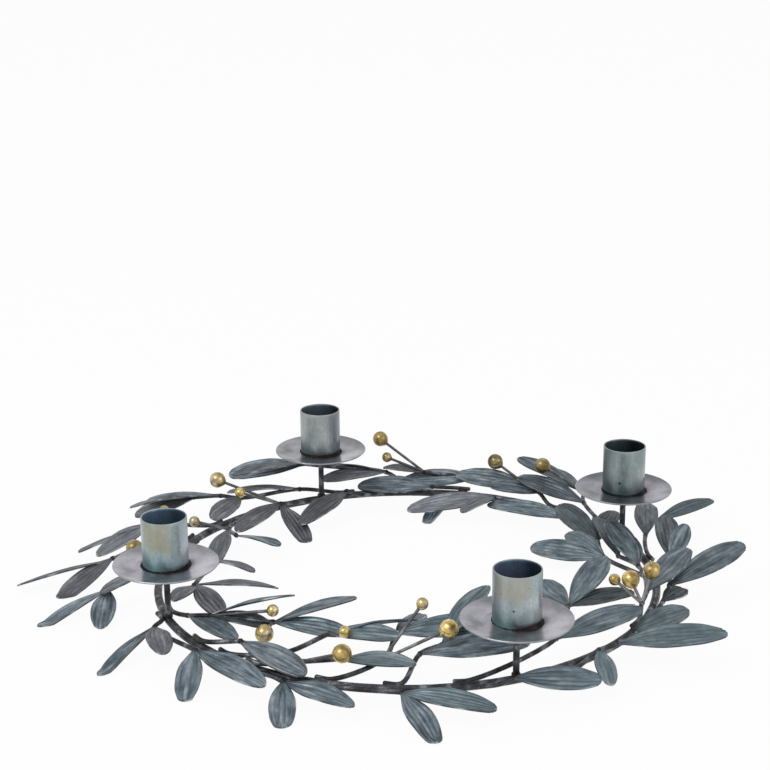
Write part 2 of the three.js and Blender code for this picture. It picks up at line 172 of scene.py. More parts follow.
# The wreath, counter-clockwise from the front left
PLAN: tuple[SprigPlan, ...] = (
    SprigPlan(203, OUTER, [
        Joint(205, 10, 0, [Leaf(SLIM, 31, -8, 5), Leaf(SHORT, 80, 6)]),
        Joint(220, 6, 1, [Leaf(BROAD, 47, -10, tone=1.08), Leaf(LONG, 92, 7, 10)]),
    ]),
    SprigPlan(199, INNER, [
        Joint(207.5, -7, 6, [Leaf(BROAD, 108, 4)]),
        Joint(212, -15, 8, [Leaf(SHORT, 138, 0, 5, tone=0.4), Leaf(SLIM, 150, 20, -20)],
              [Berry(LITTLE, 135, 10, 32)]),
        Joint(224.5, -38, 6, [Leaf(MEDIUM, 115, 5, 15), Leaf(SLIM, 135, 24, 5)],
              [Berry(BIG, 31, 0, 9, tone=1.05)]),
    ]),
    SprigPlan(160, INNER, [
        Joint(173, -27, 6, [Leaf(SMALL, 172, -3, -10)]),
        Joint(190.3, -20, 6, [Leaf(SLIM, 172, 3, -7), Leaf(SHORT, 112, -6, 10),
                              Leaf(SMALL, 62, 12)]),
    ]),
    SprigPlan(220, TOP, [
        Joint(228.2, -8, 8, [Leaf(LARGE, 86, 4, 15, tone=1.05)]),
    ]),
    SprigPlan(241, OUTER, [
        Joint(243.5, 5, 0, [Leaf(SHORT, 28, -13, tone=1.1), Leaf(MEDIUM, 80, 6, 10)]),
    ]),
    SprigPlan(227, INNER, [
        Joint(238, -16, 4, []),
        Joint(244.5, -41, 7, [Leaf(BROAD, 95, 12, 15), Leaf(SLIM, 122, 14, -20)],
              [Berry(LITTLE, 71, 22, 9, tone=1.08)]),
    ]),
    SprigPlan(237, TOP, [
        Joint(244.4, -9.5, 5, [], [Berry(BIG, 100, 18, 18, tone=1.3)]),
        Joint(253, -17, 6, [Leaf(BROAD, 95, 8, 5)]),
    ]),
    SprigPlan(253, INNER, [
        Joint(263, -22, 5, [],
              [Berry(LITTLE, 143, 35, 33, tone=0.92),
               Berry(BIG, 105, 23, 32, tone=1.6)]),
        Joint(265.5, -48, 7.5, [Leaf(LARGE, 90, 12, 28), Leaf(SMALL, 150, 8)]),
    ]),
    SprigPlan(259, OUTER, [
        Joint(268, 5, 1, [Leaf(BROAD, 30, -12), Leaf(LARGE, 72, 5, 10)]),
    ]),
    SprigPlan(268, INNER, [
        Joint(272.6, -25, 7, [Leaf(LONG, 90, 9, 28)]),
        Joint(279, -32, 8, [Leaf(MEDIUM, 130, 42, 0, -30)]),
    ]),
    SprigPlan(288, OUTER, [
        Joint(291, 4, 3, [Leaf(MEDIUM, 62, 4, 45, tone=1.2)]),
        Joint(304, 7, 1.5, []),
        Joint(313, 3, 4, [Leaf(SMALL, -36, -8, tone=1.15)]),
        Joint(318, 5, 4, [Leaf(LONG, 35, 13, 26, tone=0.85)]),
        Joint(323, 6, 7, [Leaf(SHORT, 52, 19, 25, tone=0.78)]),
    ]),
    SprigPlan(283, INNER, [
        Joint(309, -18, 6, [Leaf(LARGE, 65, 18, 24, tone=0.76)]),
        Joint(328, -38, 6, [Leaf(LARGE, 88, 20, 15, tone=0.86), Leaf(MEDIUM, 60, 4, 15, tone=0.42),
                            Leaf(SHORT, 148, 10, -15)]),
    ]),
    SprigPlan(333, OUTER, [
        Joint(343, 5, 3, [Leaf(SMALL, 70, 1, 12, tone=0.42)]),
        Joint(350, 7, 5, [Leaf(LONG, 39, 18, 28, tone=0.74)]),
        Joint(6.6, 13, 3, [Leaf(LARGE, 78, 15, tone=0.69), Leaf(SMALL, 48, 34, 25)]),
    ]),
    SprigPlan(331, TOP, [
        Joint(338, -4, 6, [],
              [Berry(BIG, 80, 50, 14, bare_wire=True),
               Berry(BIG, 155, 55, 9, tone=1.5, bare_wire=True),
               Berry(LITTLE, 166, 30, 16, tone=0.9, bare_wire=True)]),
        Joint(343, -4, 8, [Leaf(LARGE, 68, 17, 15, tone=0.79)]),
        Joint(0, -9, 6, [Leaf(LARGE, 104, 17, -5), Leaf(BROAD, 96, 13, 8)]),
        Joint(9, -16, 4, [Leaf(LARGE, 88, 13, 15, tone=0.79)]),
    ]),
    SprigPlan(357, INNER, [
        Joint(10.5, -23, 2, [Leaf(LARGE, 141, 1, -36), Leaf(LARGE, 119, -9, -22),
                             Leaf(MEDIUM, 106, 5, -20)]),
        Joint(23, -16, 2, [Leaf(LARGE, 93, 12, -25, tone=0.55), Leaf(BROAD, 45, 14, tone=0.4)]),
    ]),
    SprigPlan(12, OUTER, [
        Joint(21, 14, 2, [Leaf(LARGE, 60, 9, tone=0.6)]),
        Joint(27, 33, 3, [Leaf(SLIM, 3, 10, 20, tone=0.79)]),
    ]),
    SprigPlan(32, OUTER, [
        Joint(43, 15, 4, [Leaf(LARGE, 105, 15, -21, tone=0.6)]),
        Joint(47, 29, 5, [Leaf(SLIM, 70, 8), Leaf(LARGE, 105, 25, -6, tone=0.79)],
              [Berry(BIG, 125, 32, 26, tone=0.52)]),
    ]),
    SprigPlan(33, INNER, [
        Joint(40.5, -5, 1, [Leaf(LONG, 112, 6, -15)]),
    ]),
    SprigPlan(50, OUTER, [
        Joint(54.5, 10, 5, [Leaf(SHORT, 105, 8, -20, tone=0.6)]),
        Joint(60, 22, 3, [Leaf(LARGE, 103, 8, -32, tone=0.85)],
              [Berry(BIG, 97, 32, 21, tone=0.42)]),
        Joint(73, 26, 2, [Leaf(LARGE, 108, 3, -28), Leaf(MEDIUM, 84, 3, -5)]),
        Joint(85, 22, 6, [Leaf(SMALL, 95, 14)],
              [Berry(BIG, 78, 34, 31, tone=0.78),
               Berry(LITTLE, 91, 22, 23, tone=0.68)]),
    ]),
    SprigPlan(55, INNER, [
        Joint(64, -6, 3, [Leaf(LONG, 122, -1, -25), Leaf(SMALL, 150, -2)]),
        Joint(78, -6, -1, [Leaf(SMALL, 157, -15, tone=1.75)]),
    ]),
    SprigPlan(76, TOP, [
        Joint(82, -5, 6, [Leaf(LARGE, 92, 4, -28)]),
    ]),
    SprigPlan(88, OUTER, [
        Joint(94, 22, 6, [Leaf(MEDIUM, 105, 6, -15), Leaf(SLIM, 84, 13, 20)]),
        Joint(108, 22, 13, []),
        Joint(114, 22, 17, [Leaf(LARGE, 92, 7, 5, tone=0.75), Leaf(LARGE, 70, -2, -30)]),
    ]),
    SprigPlan(101, INNER, [
        Joint(106, -5, 5, [Leaf(LARGE, 130, -1, -10)]),
    ]),
    SprigPlan(116, INNER, [
        Joint(125.8, -5, 4, [Leaf(MEDIUM, 111, 1, -18, tone=0.75), Leaf(BROAD, 176, -17, tone=0.75)],
              [Berry(LITTLE, 62, 20, 23, tone=1.6),
               Berry(BIG, 49, 21, 37, tone=0.95)]),
    ]),
    SprigPlan(107, OUTER, [
        Joint(116.5, 12, 4, [Leaf(SLIM, 74, 8)]),
        Joint(131, 19, 4, [Leaf(SHORT, 112, 1, -20)]),
        Joint(134, 29, 5, [Leaf(SLIM, 62, 9)]),
        Joint(139, 37, 6, [Leaf(SLIM, 78, 12, 20), Leaf(BROAD, 64, -3, -15)]),
    ]),
    SprigPlan(137, INNER, [
        Joint(146.5, -11, 2, [Leaf(MEDIUM, 114, -3, tone=0.7)],
              [Berry(LITTLE, 37, 16, 18, tone=0.75)]),
        Joint(148, -19, 1, [Leaf(SHORT, 180, 8, -15)]),
    ]),
    SprigPlan(146, OUTER, [
        Joint(155, 28, 7, [Leaf(MEDIUM, 70, -6, -10), Leaf(LARGE, 45, -12, 18, -4)],
              [Berry(LITTLE, -155, 51, 6)]),
    ]),
    SprigPlan(157, OUTER, [
        Joint(171, 33, 2, [Leaf(MEDIUM, 59, -12, -15, tone=0.7), Leaf(LONG, 29, -6, 18, -4)],
              [Berry(BIG, 167, 31, 12, tone=0.66)]),
    ]),
    SprigPlan(173, OUTER, [
        Joint(181, 10, 5, [Leaf(SMALL, 40, -3)]),
        Joint(184.5, 28, 0, [Leaf(SLIM, 34, -9), Leaf(SHORT, 85, -8)]),
    ]),
)


@dataclass(frozen=True)
class Tint:
    """A colour as it looks, in sRGB steps from 0 to 255."""

    red: float
    green: float
    blue: float

    def linear(self) -> tuple[float, float, float, float]:
        """Give the colour as linear light with full alpha, by the usual sRGB curve."""
        steps = (self.red / 255, self.green / 255, self.blue / 255)
        light = [s / 12.92 if s <= 0.04045 else ((s + 0.055) / 1.055) ** 2.4 for s in steps]
        return (light[0], light[1], light[2], 1.0)


@dataclass(frozen=True)
class Mask:
    """Cloud noise, drawn out along the axes and eased from one level to another over a band of it."""

    scale: float
    detail: float
    band: Pair
    levels: Pair = (0.0, 1.0)
    draw: Triple = (1.0, 1.0, 1.0)


class ShaderBench:
    """Adds shader nodes to one tree and joins them.

    What a method takes as an object is an output socket, a tint or a plain value.
    """

    def __init__(self, tree: bpy.types.NodeTree) -> None:
        """Take an empty or new tree."""
        self.tree = tree
        tree.nodes.clear()

    def node(self, kind: str, **settings: object) -> bpy.types.Node:
        """Add a node.

        Args:
            kind: The node's type name.
            settings: Properties of the node to set.

        Returns:
            The new node.
        """
        made = self.tree.nodes.new(kind)
        for name, value in settings.items():
            setattr(made, name, value)
        return made

    def feed(self, socket: Socket, value: object) -> None:
        """Join an output to a socket, or set the socket's own value.

        Args:
            socket: The input to feed.
            value: What it takes.
        """
        if isinstance(value, Socket):
            self.tree.links.new(value, socket)
        elif isinstance(value, Tint):
            socket.default_value = value.linear()
        else:
            socket.default_value = value

    def feed_all(self, node: bpy.types.Node, values: dict[str | int, object]) -> None:
        """Feed several inputs of a node, each by its name or number."""
        for name, value in values.items():
            self.feed(node.inputs[name], value)

    def attribute(self, name: str) -> Socket:
        """Read a vector attribute of the mesh."""
        return self.node("ShaderNodeAttribute", attribute_name=name).outputs["Vector"]

    def parts(self, vector: object) -> tuple[Socket, ...]:
        """Split a vector into its three numbers."""
        split = self.node("ShaderNodeSeparateXYZ")
        self.feed(split.inputs[0], vector)
        return tuple(split.outputs)

    def vectors(self, operation: str, first: object, second: Triple) -> bpy.types.Node:
        """Add a Vector Math node whose second vector is fixed."""
        made = self.node("ShaderNodeVectorMath", operation=operation)
        self.feed_all(made, {0: first, 1: second})
        return made

    def stretch(self, vector: object, factors: Triple) -> Socket:
        """Multiply a vector, number by number."""
        return self.vectors("MULTIPLY", vector, factors).outputs[0]

    def distance(self, place: object, point: Triple) -> Socket:
        """Give how far a place is from a point."""
        return self.vectors("DISTANCE", place, point).outputs["Value"]

    def radius(self, place: object) -> Socket:
        """Give how far a place is from the Z axis."""
        return self.distance(self.stretch(place, (1.0, 1.0, 0.0)), (0.0, 0.0, 0.0))

    def towards(self, place: object, side: Pair) -> Socket:
        """Give how far a place lies towards a side, which is a unit vector seen from above."""
        return self.vectors("DOT_PRODUCT", place, (*side, 0.0)).outputs["Value"]

    def sums(self, operation: str, first: object, second: object = 0.0) -> Socket:
        """Work out one number from two by an operation of the Math node."""
        made = self.node("ShaderNodeMath", operation=operation)
        self.feed_all(made, {0: first, 1: second})
        return made.outputs[0]

    def times(self, first: object, second: object) -> Socket:
        """Multiply two numbers."""
        return self.sums("MULTIPLY", first, second)

    def noise(self, place: object, scale: object, detail: float) -> Socket:
        """Add a cloud noise.

        Args:
            place: Where the noise is read.
            scale: How many clouds to one unit of place.
            detail: How many finer layers are added.

        Returns:
            The noise, about 0.5 on average.
        """
        made = self.node("ShaderNodeTexNoise")
        self.feed_all(made, {"Vector": place, "Scale": scale, "Detail": detail})
        return made.outputs[0]

    def ramp(self, value: object, start: float, end: float, low: float = 0.0, high: float = 1.0) -> Socket:
        """Ease a number from one level to another.

        Args:
            value: The number.
            start: Where the change starts.
            end: Where the change ends.
            low: The level before the start.
            high: The level after the end.

        Returns:
            The eased level.
        """
        made = self.node("ShaderNodeMapRange", interpolation_type="SMOOTHSTEP")
        self.feed_all(made, dict(enumerate((value, start, end, low, high))))
        return made.outputs[0]

    def sided(self, place: object, side: Pair, band: Pair, share: float) -> Socket:
        """Give the share of a tint that sets in towards one side."""
        return self.ramp(self.towards(place, side), *band, 0.0, share)

    def mask(self, place: object, mask: Mask) -> Socket:
        """Read a mask at a place."""
        cloud = self.noise(self.stretch(place, mask.draw), mask.scale, mask.detail)
        return self.ramp(cloud, *mask.band, *mask.levels)

    def blend(self, share: object, first: object, second: object, mode: str = "MIX") -> Socket:
        """Mix two colours.

        Args:
            share: How much of the second colour shows.
            first: The colour below.
            second: The colour above.
            mode: The Mix node's blend type.

        Returns:
            The mixed colour.
        """
        made = self.node("ShaderNodeMix", data_type="RGBA", blend_type=mode)
        self.feed_all(made, {0: share, 6: first, 7: second})
        return made.outputs[2]

    def shade(self, colour: object, level: object) -> Socket:
        """Darken or lighten a colour by a level, where 1 leaves it as it is."""
        return self.blend(1.0, colour, level, "MULTIPLY")

    def mix_shaders(self, share: object, first: bpy.types.Node, second: bpy.types.Node) -> Socket:
        """Mix two shaders by the share of the second."""
        made = self.node("ShaderNodeMixShader")
        self.feed_all(made, {0: share, 1: first.outputs[0], 2: second.outputs[0]})
        return made.outputs[0]

    def bump(self, height: object, strength: float, distance: float) -> Socket:
        """Turn a height into a normal."""
        made = self.node("ShaderNodeBump")
        self.feed_all(made, {"Height": height, "Strength": strength, "Distance": distance})
        return made.outputs[0]

    def end(self, kind: str, surface: Socket) -> None:
        """Finish the tree with an output node of a kind."""
        self.feed(self.node(kind).inputs["Surface"], surface)


def new_material(name: str) -> tuple[bpy.types.Material, ShaderBench]:
    """Start a node material.

    Args:
        name: The material's name.

    Returns:
        The material and a bench on its tree.
    """
    material = bpy.data.materials.new(name)
    material.use_nodes = True
    return material, ShaderBench(material.node_tree)


@dataclass
class PatinaGroup:
    """Cloudy oxide and fine grain, which every metal of the wreath shows at its own scale."""

    cloud_detail: float = 5.0
    grain_detail: float = 2.0
    middle_band: Pair = (0.32, 0.52)
    light_band: Pair = (0.50, 0.70)
    grain_band: Pair = (0.25, 0.75)
    grain_levels: Pair = (0.86, 1.10)
    tree: bpy.types.NodeTree = field(init=False)

    def __post_init__(self) -> None:
        """Build the group once."""
        self.tree = bpy.data.node_groups.new("patina", "ShaderNodeTree")
        inputs = {"Place": "Vector", "Cloud Scale": "Float", "Grain Scale": "Float"}
        inputs |= {"Dark": "Color", "Middle": "Color", "Light": "Color"}
        outputs = {"Colour": "Color", "Cloud": "Float", "Grain": "Float"}
        for end, sockets in (("INPUT", inputs), ("OUTPUT", outputs)):
            for name, kind in sockets.items():
                self.tree.interface.new_socket(name=name, in_out=end, socket_type=f"NodeSocket{kind}")
        bench = ShaderBench(self.tree)
        given = bench.node("NodeGroupInput").outputs
        cloud = bench.noise(given["Place"], given["Cloud Scale"], self.cloud_detail)
        grain = bench.noise(given["Place"], given["Grain Scale"], self.grain_detail)
        lower = bench.blend(bench.ramp(cloud, *self.middle_band), given["Dark"], given["Middle"])
        upper = bench.blend(bench.ramp(cloud, *self.light_band), lower, given["Light"])
        colour = bench.shade(upper, bench.ramp(grain, *self.grain_band, *self.grain_levels))
        bench.feed_all(bench.node("NodeGroupOutput"), {"Colour": colour, "Cloud": cloud, "Grain": grain})


@dataclass(frozen=True)
class Metal:
    """A metal finish: oxide in three tints, rough where its cloud is dark and polished where it is light."""

    name: str
    dark: Tint
    middle: Tint
    light: Tint
    cloud_scale: float
    grain_scale: float
    metallic: float
    rough: float
    polished: float
    bump: float
    gloss: float = 0.5
    cloud_band: Pair = (0.3, 0.7)
    grain_depth: float = 0.0003

    def place(self, bench: ShaderBench) -> Socket:
        """Give the place that the oxide is read at: the object's own coordinates."""
        return bench.node("ShaderNodeTexCoord").outputs["Object"]

    def colour(self, bench: ShaderBench, oxide: Socket) -> Socket:
        """Give the finish's colour from the bare oxide's."""
        return oxide

    def material(self, patina: PatinaGroup) -> bpy.types.Material:
        """Make the material.

        Args:
            patina: The oxide that every metal shows.

        Returns:
            The material.
        """
        material, bench = new_material(self.name)
        oxide = bench.node("ShaderNodeGroup", node_tree=patina.tree)
        bench.feed_all(oxide, {
            "Place": self.place(bench),
            "Cloud Scale": self.cloud_scale,
            "Grain Scale": self.grain_scale,
            "Dark": self.dark,
            "Middle": self.middle,
            "Light": self.light,
        })
        surface = bench.node("ShaderNodeBsdfPrincipled")
        bench.feed_all(surface, {
            "Base Color": self.colour(bench, oxide.outputs["Colour"]),
            "Metallic": self.metallic,
            "Roughness": bench.ramp(oxide.outputs["Cloud"], *self.cloud_band, self.rough, self.polished),
            "Normal": bench.bump(oxide.outputs["Grain"], self.bump, self.grain_depth),
            "Specular IOR Level": self.gloss,
        })
        bench.end("ShaderNodeOutputMaterial", surface.outputs[0])
        return material


@dataclass(frozen=True, kw_only=True)
class LeafZinc(Metal):
    """Ribbed slate-grey zinc sheet, darker at the stem, with painted highlight streaks and painted shade and
    highlights along the cut edge.

    It reads the blade, look and shade attributes of the leaves.
    """

    name: str = "leaf_zinc"
    dark: Tint = Tint(67, 78, 87)
    middle: Tint = Tint(103, 116, 125)
    light: Tint = Tint(140, 153, 161)
    cloud_scale: float = 1.7
    grain_scale: float = 8.0
    metallic: float = 0.45
    rough: float = 0.58
    polished: float = 0.42
    bump: float = 0.25
    cloud_draw: Triple = (0.55, 0.045, 1.0)
    lilac: Tint = Tint(112, 108, 112)
    lilac_band: Pair = (0.0, -0.8)
    green: Tint = Tint(94, 112, 117)
    green_band: Pair = (0.1, 1.0)
    hue_share: float = 0.65
    # Painted shade in the grooves between the ribs
    groove_band: Pair = (0.0, -0.95)
    groove_shade: float = 0.32
    # Painted highlight streaks along the leaf
    highlight_streak: Tint = Tint(176, 186, 192)
    highlight_streak_mask: Mask = Mask(1.6, 1.0, (0.56, 0.76), (0.0, 0.36), (0.8, 0.03, 1.0))
    mottle_mask: Mask = Mask(0.9, 2.0, (0.3, 0.7), (0.86, 1.14), (1.5, 0.3, 1.0))
    stem: Tint = Tint(68, 72, 79)
    stem_share: float = 0.7
    # Painted shade along the curled cut edge
    edge: Tint = Tint(58, 65, 71)
    edge_share: float = 0.55
    # Painted highlights where the edge catches the light, here and there along it
    edge_highlight: Tint = Tint(170, 176, 178)
    edge_highlight_mask: Mask = Mask(2.0, 2.0, (0.50, 0.66), (0.0, 0.9), (0.3, 0.05, 1.0))

    def place(self, bench: ShaderBench) -> Socket:
        """Draw the oxide out along the leaf."""
        return bench.stretch(bench.attribute("blade"), self.cloud_draw)

    def colour(self, bench: ShaderBench, oxide: Socket) -> Socket:
        """Tint the oxide leaf by leaf, paint shade into its grooves and highlight streaks along it, and paint
        shade and highlights at its edge.

        Args:
            bench: The material's bench.
            oxide: The oxide's colour.

        Returns:
            The leaf's colour.
        """
        blade = bench.attribute("blade")
        stem, rim, hue = bench.parts(bench.attribute("look"))
        toned = bench.blend(bench.ramp(hue, *self.lilac_band, 0.0, self.hue_share), oxide, self.lilac)
        toned = bench.blend(bench.ramp(hue, *self.green_band, 0.0, self.hue_share), toned, self.green)
        # Painted shade in the rib grooves
        wave = bench.sums("COSINE", bench.times(bench.parts(blade)[0], math.tau))
        toned = bench.shade(toned, bench.ramp(wave, *self.groove_band, 1.0, 1.0 - self.groove_shade))
        # Painted highlight streaks
        toned = bench.blend(bench.mask(blade, self.highlight_streak_mask), toned, self.highlight_streak)
        toned = bench.shade(toned, bench.mask(blade, self.mottle_mask))
        # Painted light and shade leaf by leaf, from tone, times a random spread
        toned = bench.shade(toned, bench.parts(bench.attribute("shade"))[0])
        toned = bench.blend(bench.times(stem, self.stem_share), toned, self.stem)
        # Painted shade along the edge
        toned = bench.blend(bench.times(rim, self.edge_share), toned, self.edge)
        # Painted edge highlights
        return bench.blend(bench.times(rim, bench.mask(blade, self.edge_highlight_mask)), toned, self.edge_highlight)


@dataclass(frozen=True, kw_only=True)
class RodSteel(Metal):
    """Near-black steel rod worn to grey, with paler wires and black braze where the rod attribute says."""

    name: str = "rod_steel"
    dark: Tint = Tint(29, 28, 30)
    middle: Tint = Tint(57, 59, 63)
    light: Tint = Tint(124, 128, 135)
    cloud_scale: float = 160.0
    grain_scale: float = 900.0
    metallic: float = 0.5
    rough: float = 0.56
    polished: float = 0.36
    bump: float = 0.3
    wire: Tint = Tint(134, 132, 131)
    wire_share: float = 0.75
    braze: Tint = Tint(24, 21, 21)
    braze_share: float = 0.85

    def colour(self, bench: ShaderBench, oxide: Socket) -> Socket:
        """Give the wires and the braze their own colours.

        Args:
            bench: The material's bench.
            oxide: The oxide's colour.

        Returns:
            The rod's colour.
        """
        bare, braze, _ = bench.parts(bench.attribute("rod"))
        rods = bench.blend(bare, oxide, bench.blend(self.wire_share, oxide, self.wire))
        return bench.blend(bench.times(braze, self.braze_share), rods, self.braze)


@dataclass(frozen=True, kw_only=True)
class StationZinc(Metal):
    """Zinc of a candle station, which reads the place attribute: millimetres from the piece's middle.

    A side is a unit vector seen from above. A band is where a tint sets in, and a reach is a band of
    the radius, both in millimetres.
    """

    def place(self, bench: ShaderBench) -> Socket:
        """Read the oxide at the place attribute."""
        return bench.attribute("place")


@dataclass(frozen=True, kw_only=True)
class PlateZinc(StationZinc):
    """Polished lilac-grey zinc, with painted shade at the back, stained and burnt round the cup, with a
    painted rim highlight.
    """

    cloud_scale: float = 0.07
    grain_scale: float = 2.2
    metallic: float = 0.9
    rough: float = 0.28
    polished: float = 0.18
    bump: float = 0.05
    # Painted shade at the back of the plate, towards the dark tint
    back_shade_band: Pair = (0.0, 26.0)
    back_shade_share: float = 0.6
    stain: Tint = Tint(112, 104, 112)
    stain_mask: Mask = Mask(0.12, 3.0, (0.42, 0.66))
    stain_reach: Pair = (18.0, 13.0)
    burn: Tint = Tint(92, 72, 80)
    burn_side: Pair = (0.92, -0.39)
    burn_band: Pair = (8.0, 13.0)
    burn_reach: Pair = (17.0, 13.5)
    burn_share: float = 0.75
    # Painted highlight along the rim
    rim: Tint = Tint(150, 152, 158)
    rim_highlight_reach: Pair = (28.0, 28.4)
    rim_highlight_share: float = 0.75

    def colour(self, bench: ShaderBench, oxide: Socket) -> Socket:
        """Paint shade at the back, stain and burn the oxide, and paint a highlight along the rim.

        Args:
            bench: The material's bench.
            oxide: The oxide's colour.

        Returns:
            The plate's colour.
        """
        place = bench.attribute("place")
        radius = bench.radius(place)
        # Painted shade at the back
        back = bench.ramp(bench.parts(place)[1], *self.back_shade_band, 0.0, self.back_shade_share)
        toned = bench.blend(back, oxide, self.dark)
        stain = bench.times(bench.ramp(radius, *self.stain_reach), bench.mask(place, self.stain_mask))
        toned = bench.blend(stain, toned, self.stain)
        burn = bench.sided(place, self.burn_side, self.burn_band, self.burn_share)
        toned = bench.blend(bench.times(burn, bench.ramp(radius, *self.burn_reach)), toned, self.burn)
        # Painted rim highlight
        return bench.blend(bench.ramp(radius, *self.rim_highlight_reach, 0.0, self.rim_highlight_share), toned, self.rim)


@dataclass(frozen=True, kw_only=True)
class CupZinc(StationZinc):
    """Zinc tube, greener at its foot, with heat tints and painted side shading on chosen sides, a painted rim
    highlight and painted shadow on its inner wall.
    """

    cloud_scale: float = 0.13
    grain_scale: float = 1.6
    metallic: float = 0.8
    rough: float = 0.40
    polished: float = 0.27
    bump: float = 0.06
    cloud_draw: Triple = (1.0, 1.0, 0.35)
    drift_scale: float = 0.11
    drift_detail: float = 3.0
    drift_band: Pair = (0.3, 0.7)
    # Painted side shading: the tube is tinted towards one side as if the light fell away there, mostly darker
    # and greyer on the third cup
    side_shading: Tint
    side_shading_dir: Pair
    side_shading_band: Pair = (6.0, 12.0)
    side_shading_share: float
    straw: Tint = Tint(152, 144, 118)
    straw_side: Pair = (-0.5, -0.87)
    straw_band: Pair = (6.5, 12.0)
    straw_share: float = 0.0
    straw_height: float = 11.0
    straw_fade: float = 4.0
    straw_drift: float = 2.5
    straw_patches: Pair = (0.28, 0.5)
    straw_levels: Pair = (0.4, 1.0)
    foot: Tint
    foot_heights: Pair = (8.5, 1.5)
    foot_share: float = 0.85
    foot_drift: float = 1.0
    smear: Tint = Tint(84, 66, 70)
    smear_side: Pair = (0.55, -0.83)
    smear_band: Pair = (8.5, 11.5)
    smear_heights: Pair = (4.2, 2.2)
    smear_share: float = 0.6
    speck: Tint = Tint(48, 54, 56)
    speck_mask: Mask = Mask(0.55, 1.0, (0.745, 0.775))
    blot: Triple = (0.0, 0.0, 0.0)
    blot_radius: float = 0.0
    blot_fade: float = 0.3
    inside: Tint
    # Painted shadow inside the cup: the inner wall turns to the depth tint towards one side
    depth: Tint
    inner_shadow_side: Pair = (1.0, 0.0)
    inner_shadow_band: Pair = (-7.0, 8.0)
    inside_reach: Pair = (12.0, 11.8)
    # Painted highlight along the rim
    rim: Tint = Tint(150, 158, 157)
    rim_highlight_heights: Pair = (26.9, 27.3)
    rim_highlight_share: float = 0.5

    def place(self, bench: ShaderBench) -> Socket:
        """Draw the oxide out along the tube."""
        return bench.stretch(super().place(bench), self.cloud_draw)

    def uneven(self, bench: ShaderBench, height: Socket, drift: Socket, reach: float) -> Socket:
        """Shift a height up and down with the drift by as much as the reach."""
        return bench.sums("ADD", height, bench.ramp(drift, *self.drift_band, -reach, reach))

    def colour(self, bench: ShaderBench, oxide: Socket) -> Socket:
        """Lay the heat tints, the painted side shading, the specks, the inner wall with its painted shadow
        and the painted rim highlight over the oxide.

        Args:
            bench: The material's bench.
            oxide: The oxide's colour.

        Returns:
            The cup's colour.
        """
        place = bench.attribute("place")
        height = bench.parts(place)[2]
        drift = bench.noise(place, self.drift_scale, self.drift_detail)
        # Painted side shading
        side_shading = bench.sided(place, self.side_shading_dir, self.side_shading_band, self.side_shading_share)
        toned = bench.blend(side_shading, oxide, self.side_shading)
        warm = bench.sided(place, self.straw_side, self.straw_band, self.straw_share)
        low, high = self.straw_height - self.straw_fade, self.straw_height + self.straw_fade
        warm = bench.times(warm, bench.ramp(self.uneven(bench, height, drift, self.straw_drift), low, high))
        warm = bench.times(warm, bench.ramp(drift, *self.straw_patches, *self.straw_levels))
        toned = bench.blend(warm, toned, self.straw)
        footing = self.uneven(bench, height, drift, self.foot_drift)
        toned = bench.blend(bench.ramp(footing, *self.foot_heights, 0.0, self.foot_share), toned, self.foot)
        burnt = bench.sided(place, self.smear_side, self.smear_band, self.smear_share)
        burnt = bench.times(burnt, bench.ramp(footing, *self.smear_heights))
        toned = bench.blend(burnt, toned, self.smear)
        toned = bench.blend(bench.mask(place, self.speck_mask), toned, self.speck)
        away = bench.distance(place, self.blot)
        blot = bench.ramp(away, self.blot_radius + self.blot_fade, self.blot_radius - self.blot_fade)
        toned = bench.blend(blot, toned, self.speck)
        # Inner wall with painted shadow towards one side
        inner_shadow_share = bench.sided(place, self.inner_shadow_side, self.inner_shadow_band, 1.0)
        shadowed_inner_wall = bench.blend(inner_shadow_share, self.inside, self.depth)
        toned = bench.blend(bench.ramp(bench.radius(place), *self.inside_reach), toned, shadowed_inner_wall)
        # Painted rim highlight
        return bench.blend(bench.ramp(height, *self.rim_highlight_heights, 0.0, self.rim_highlight_share), toned, self.rim)


@dataclass(frozen=True, kw_only=True)
class BerryGold(Metal):
    """Gold paint rubbed thin, with olive hollows and pale bare patches. It reads the shade attribute, which
    holds each berry's own lightness with painted light and shade.
    """

    name: str = "berry_gold"
    dark: Tint = Tint(106, 90, 58)
    middle: Tint = Tint(170, 147, 92)
    light: Tint = Tint(220, 203, 152)
    cloud_scale: float = 150.0
    grain_scale: float = 1000.0
    metallic: float = 0.75
    rough: float = 0.34
    polished: float = 0.18
    bump: float = 0.12
    bare: Tint = Tint(204, 198, 184)
    bare_mask: Mask = Mask(95.0, 2.0, (0.56, 0.72), (0.0, 0.75))

    def colour(self, bench: ShaderBench, oxide: Socket) -> Socket:
        """Rub the paint thin in patches, and make each berry lighter or darker as its tone says, which is
        partly painted light and shade.
        """
        rubbed = bench.blend(bench.mask(self.place(bench), self.bare_mask), oxide, self.bare)
        # Painted light and shade berry by berry, from tone, with each berry's own lightness
        return bench.shade(rubbed, bench.parts(bench.attribute("shade"))[0])


PLATES = (
    PlateZinc("plate_zinc_1", Tint(88, 91, 98), Tint(130, 131, 140), Tint(154, 156, 165)),
    PlateZinc("plate_zinc_2", Tint(102, 105, 110), Tint(144, 145, 151), Tint(168, 169, 175)),
    PlateZinc("plate_zinc_3", Tint(124, 125, 132), Tint(164, 163, 171), Tint(182, 182, 189)),
    PlateZinc("plate_zinc_4", Tint(112, 116, 122), Tint(158, 156, 164), Tint(178, 177, 184)),
)

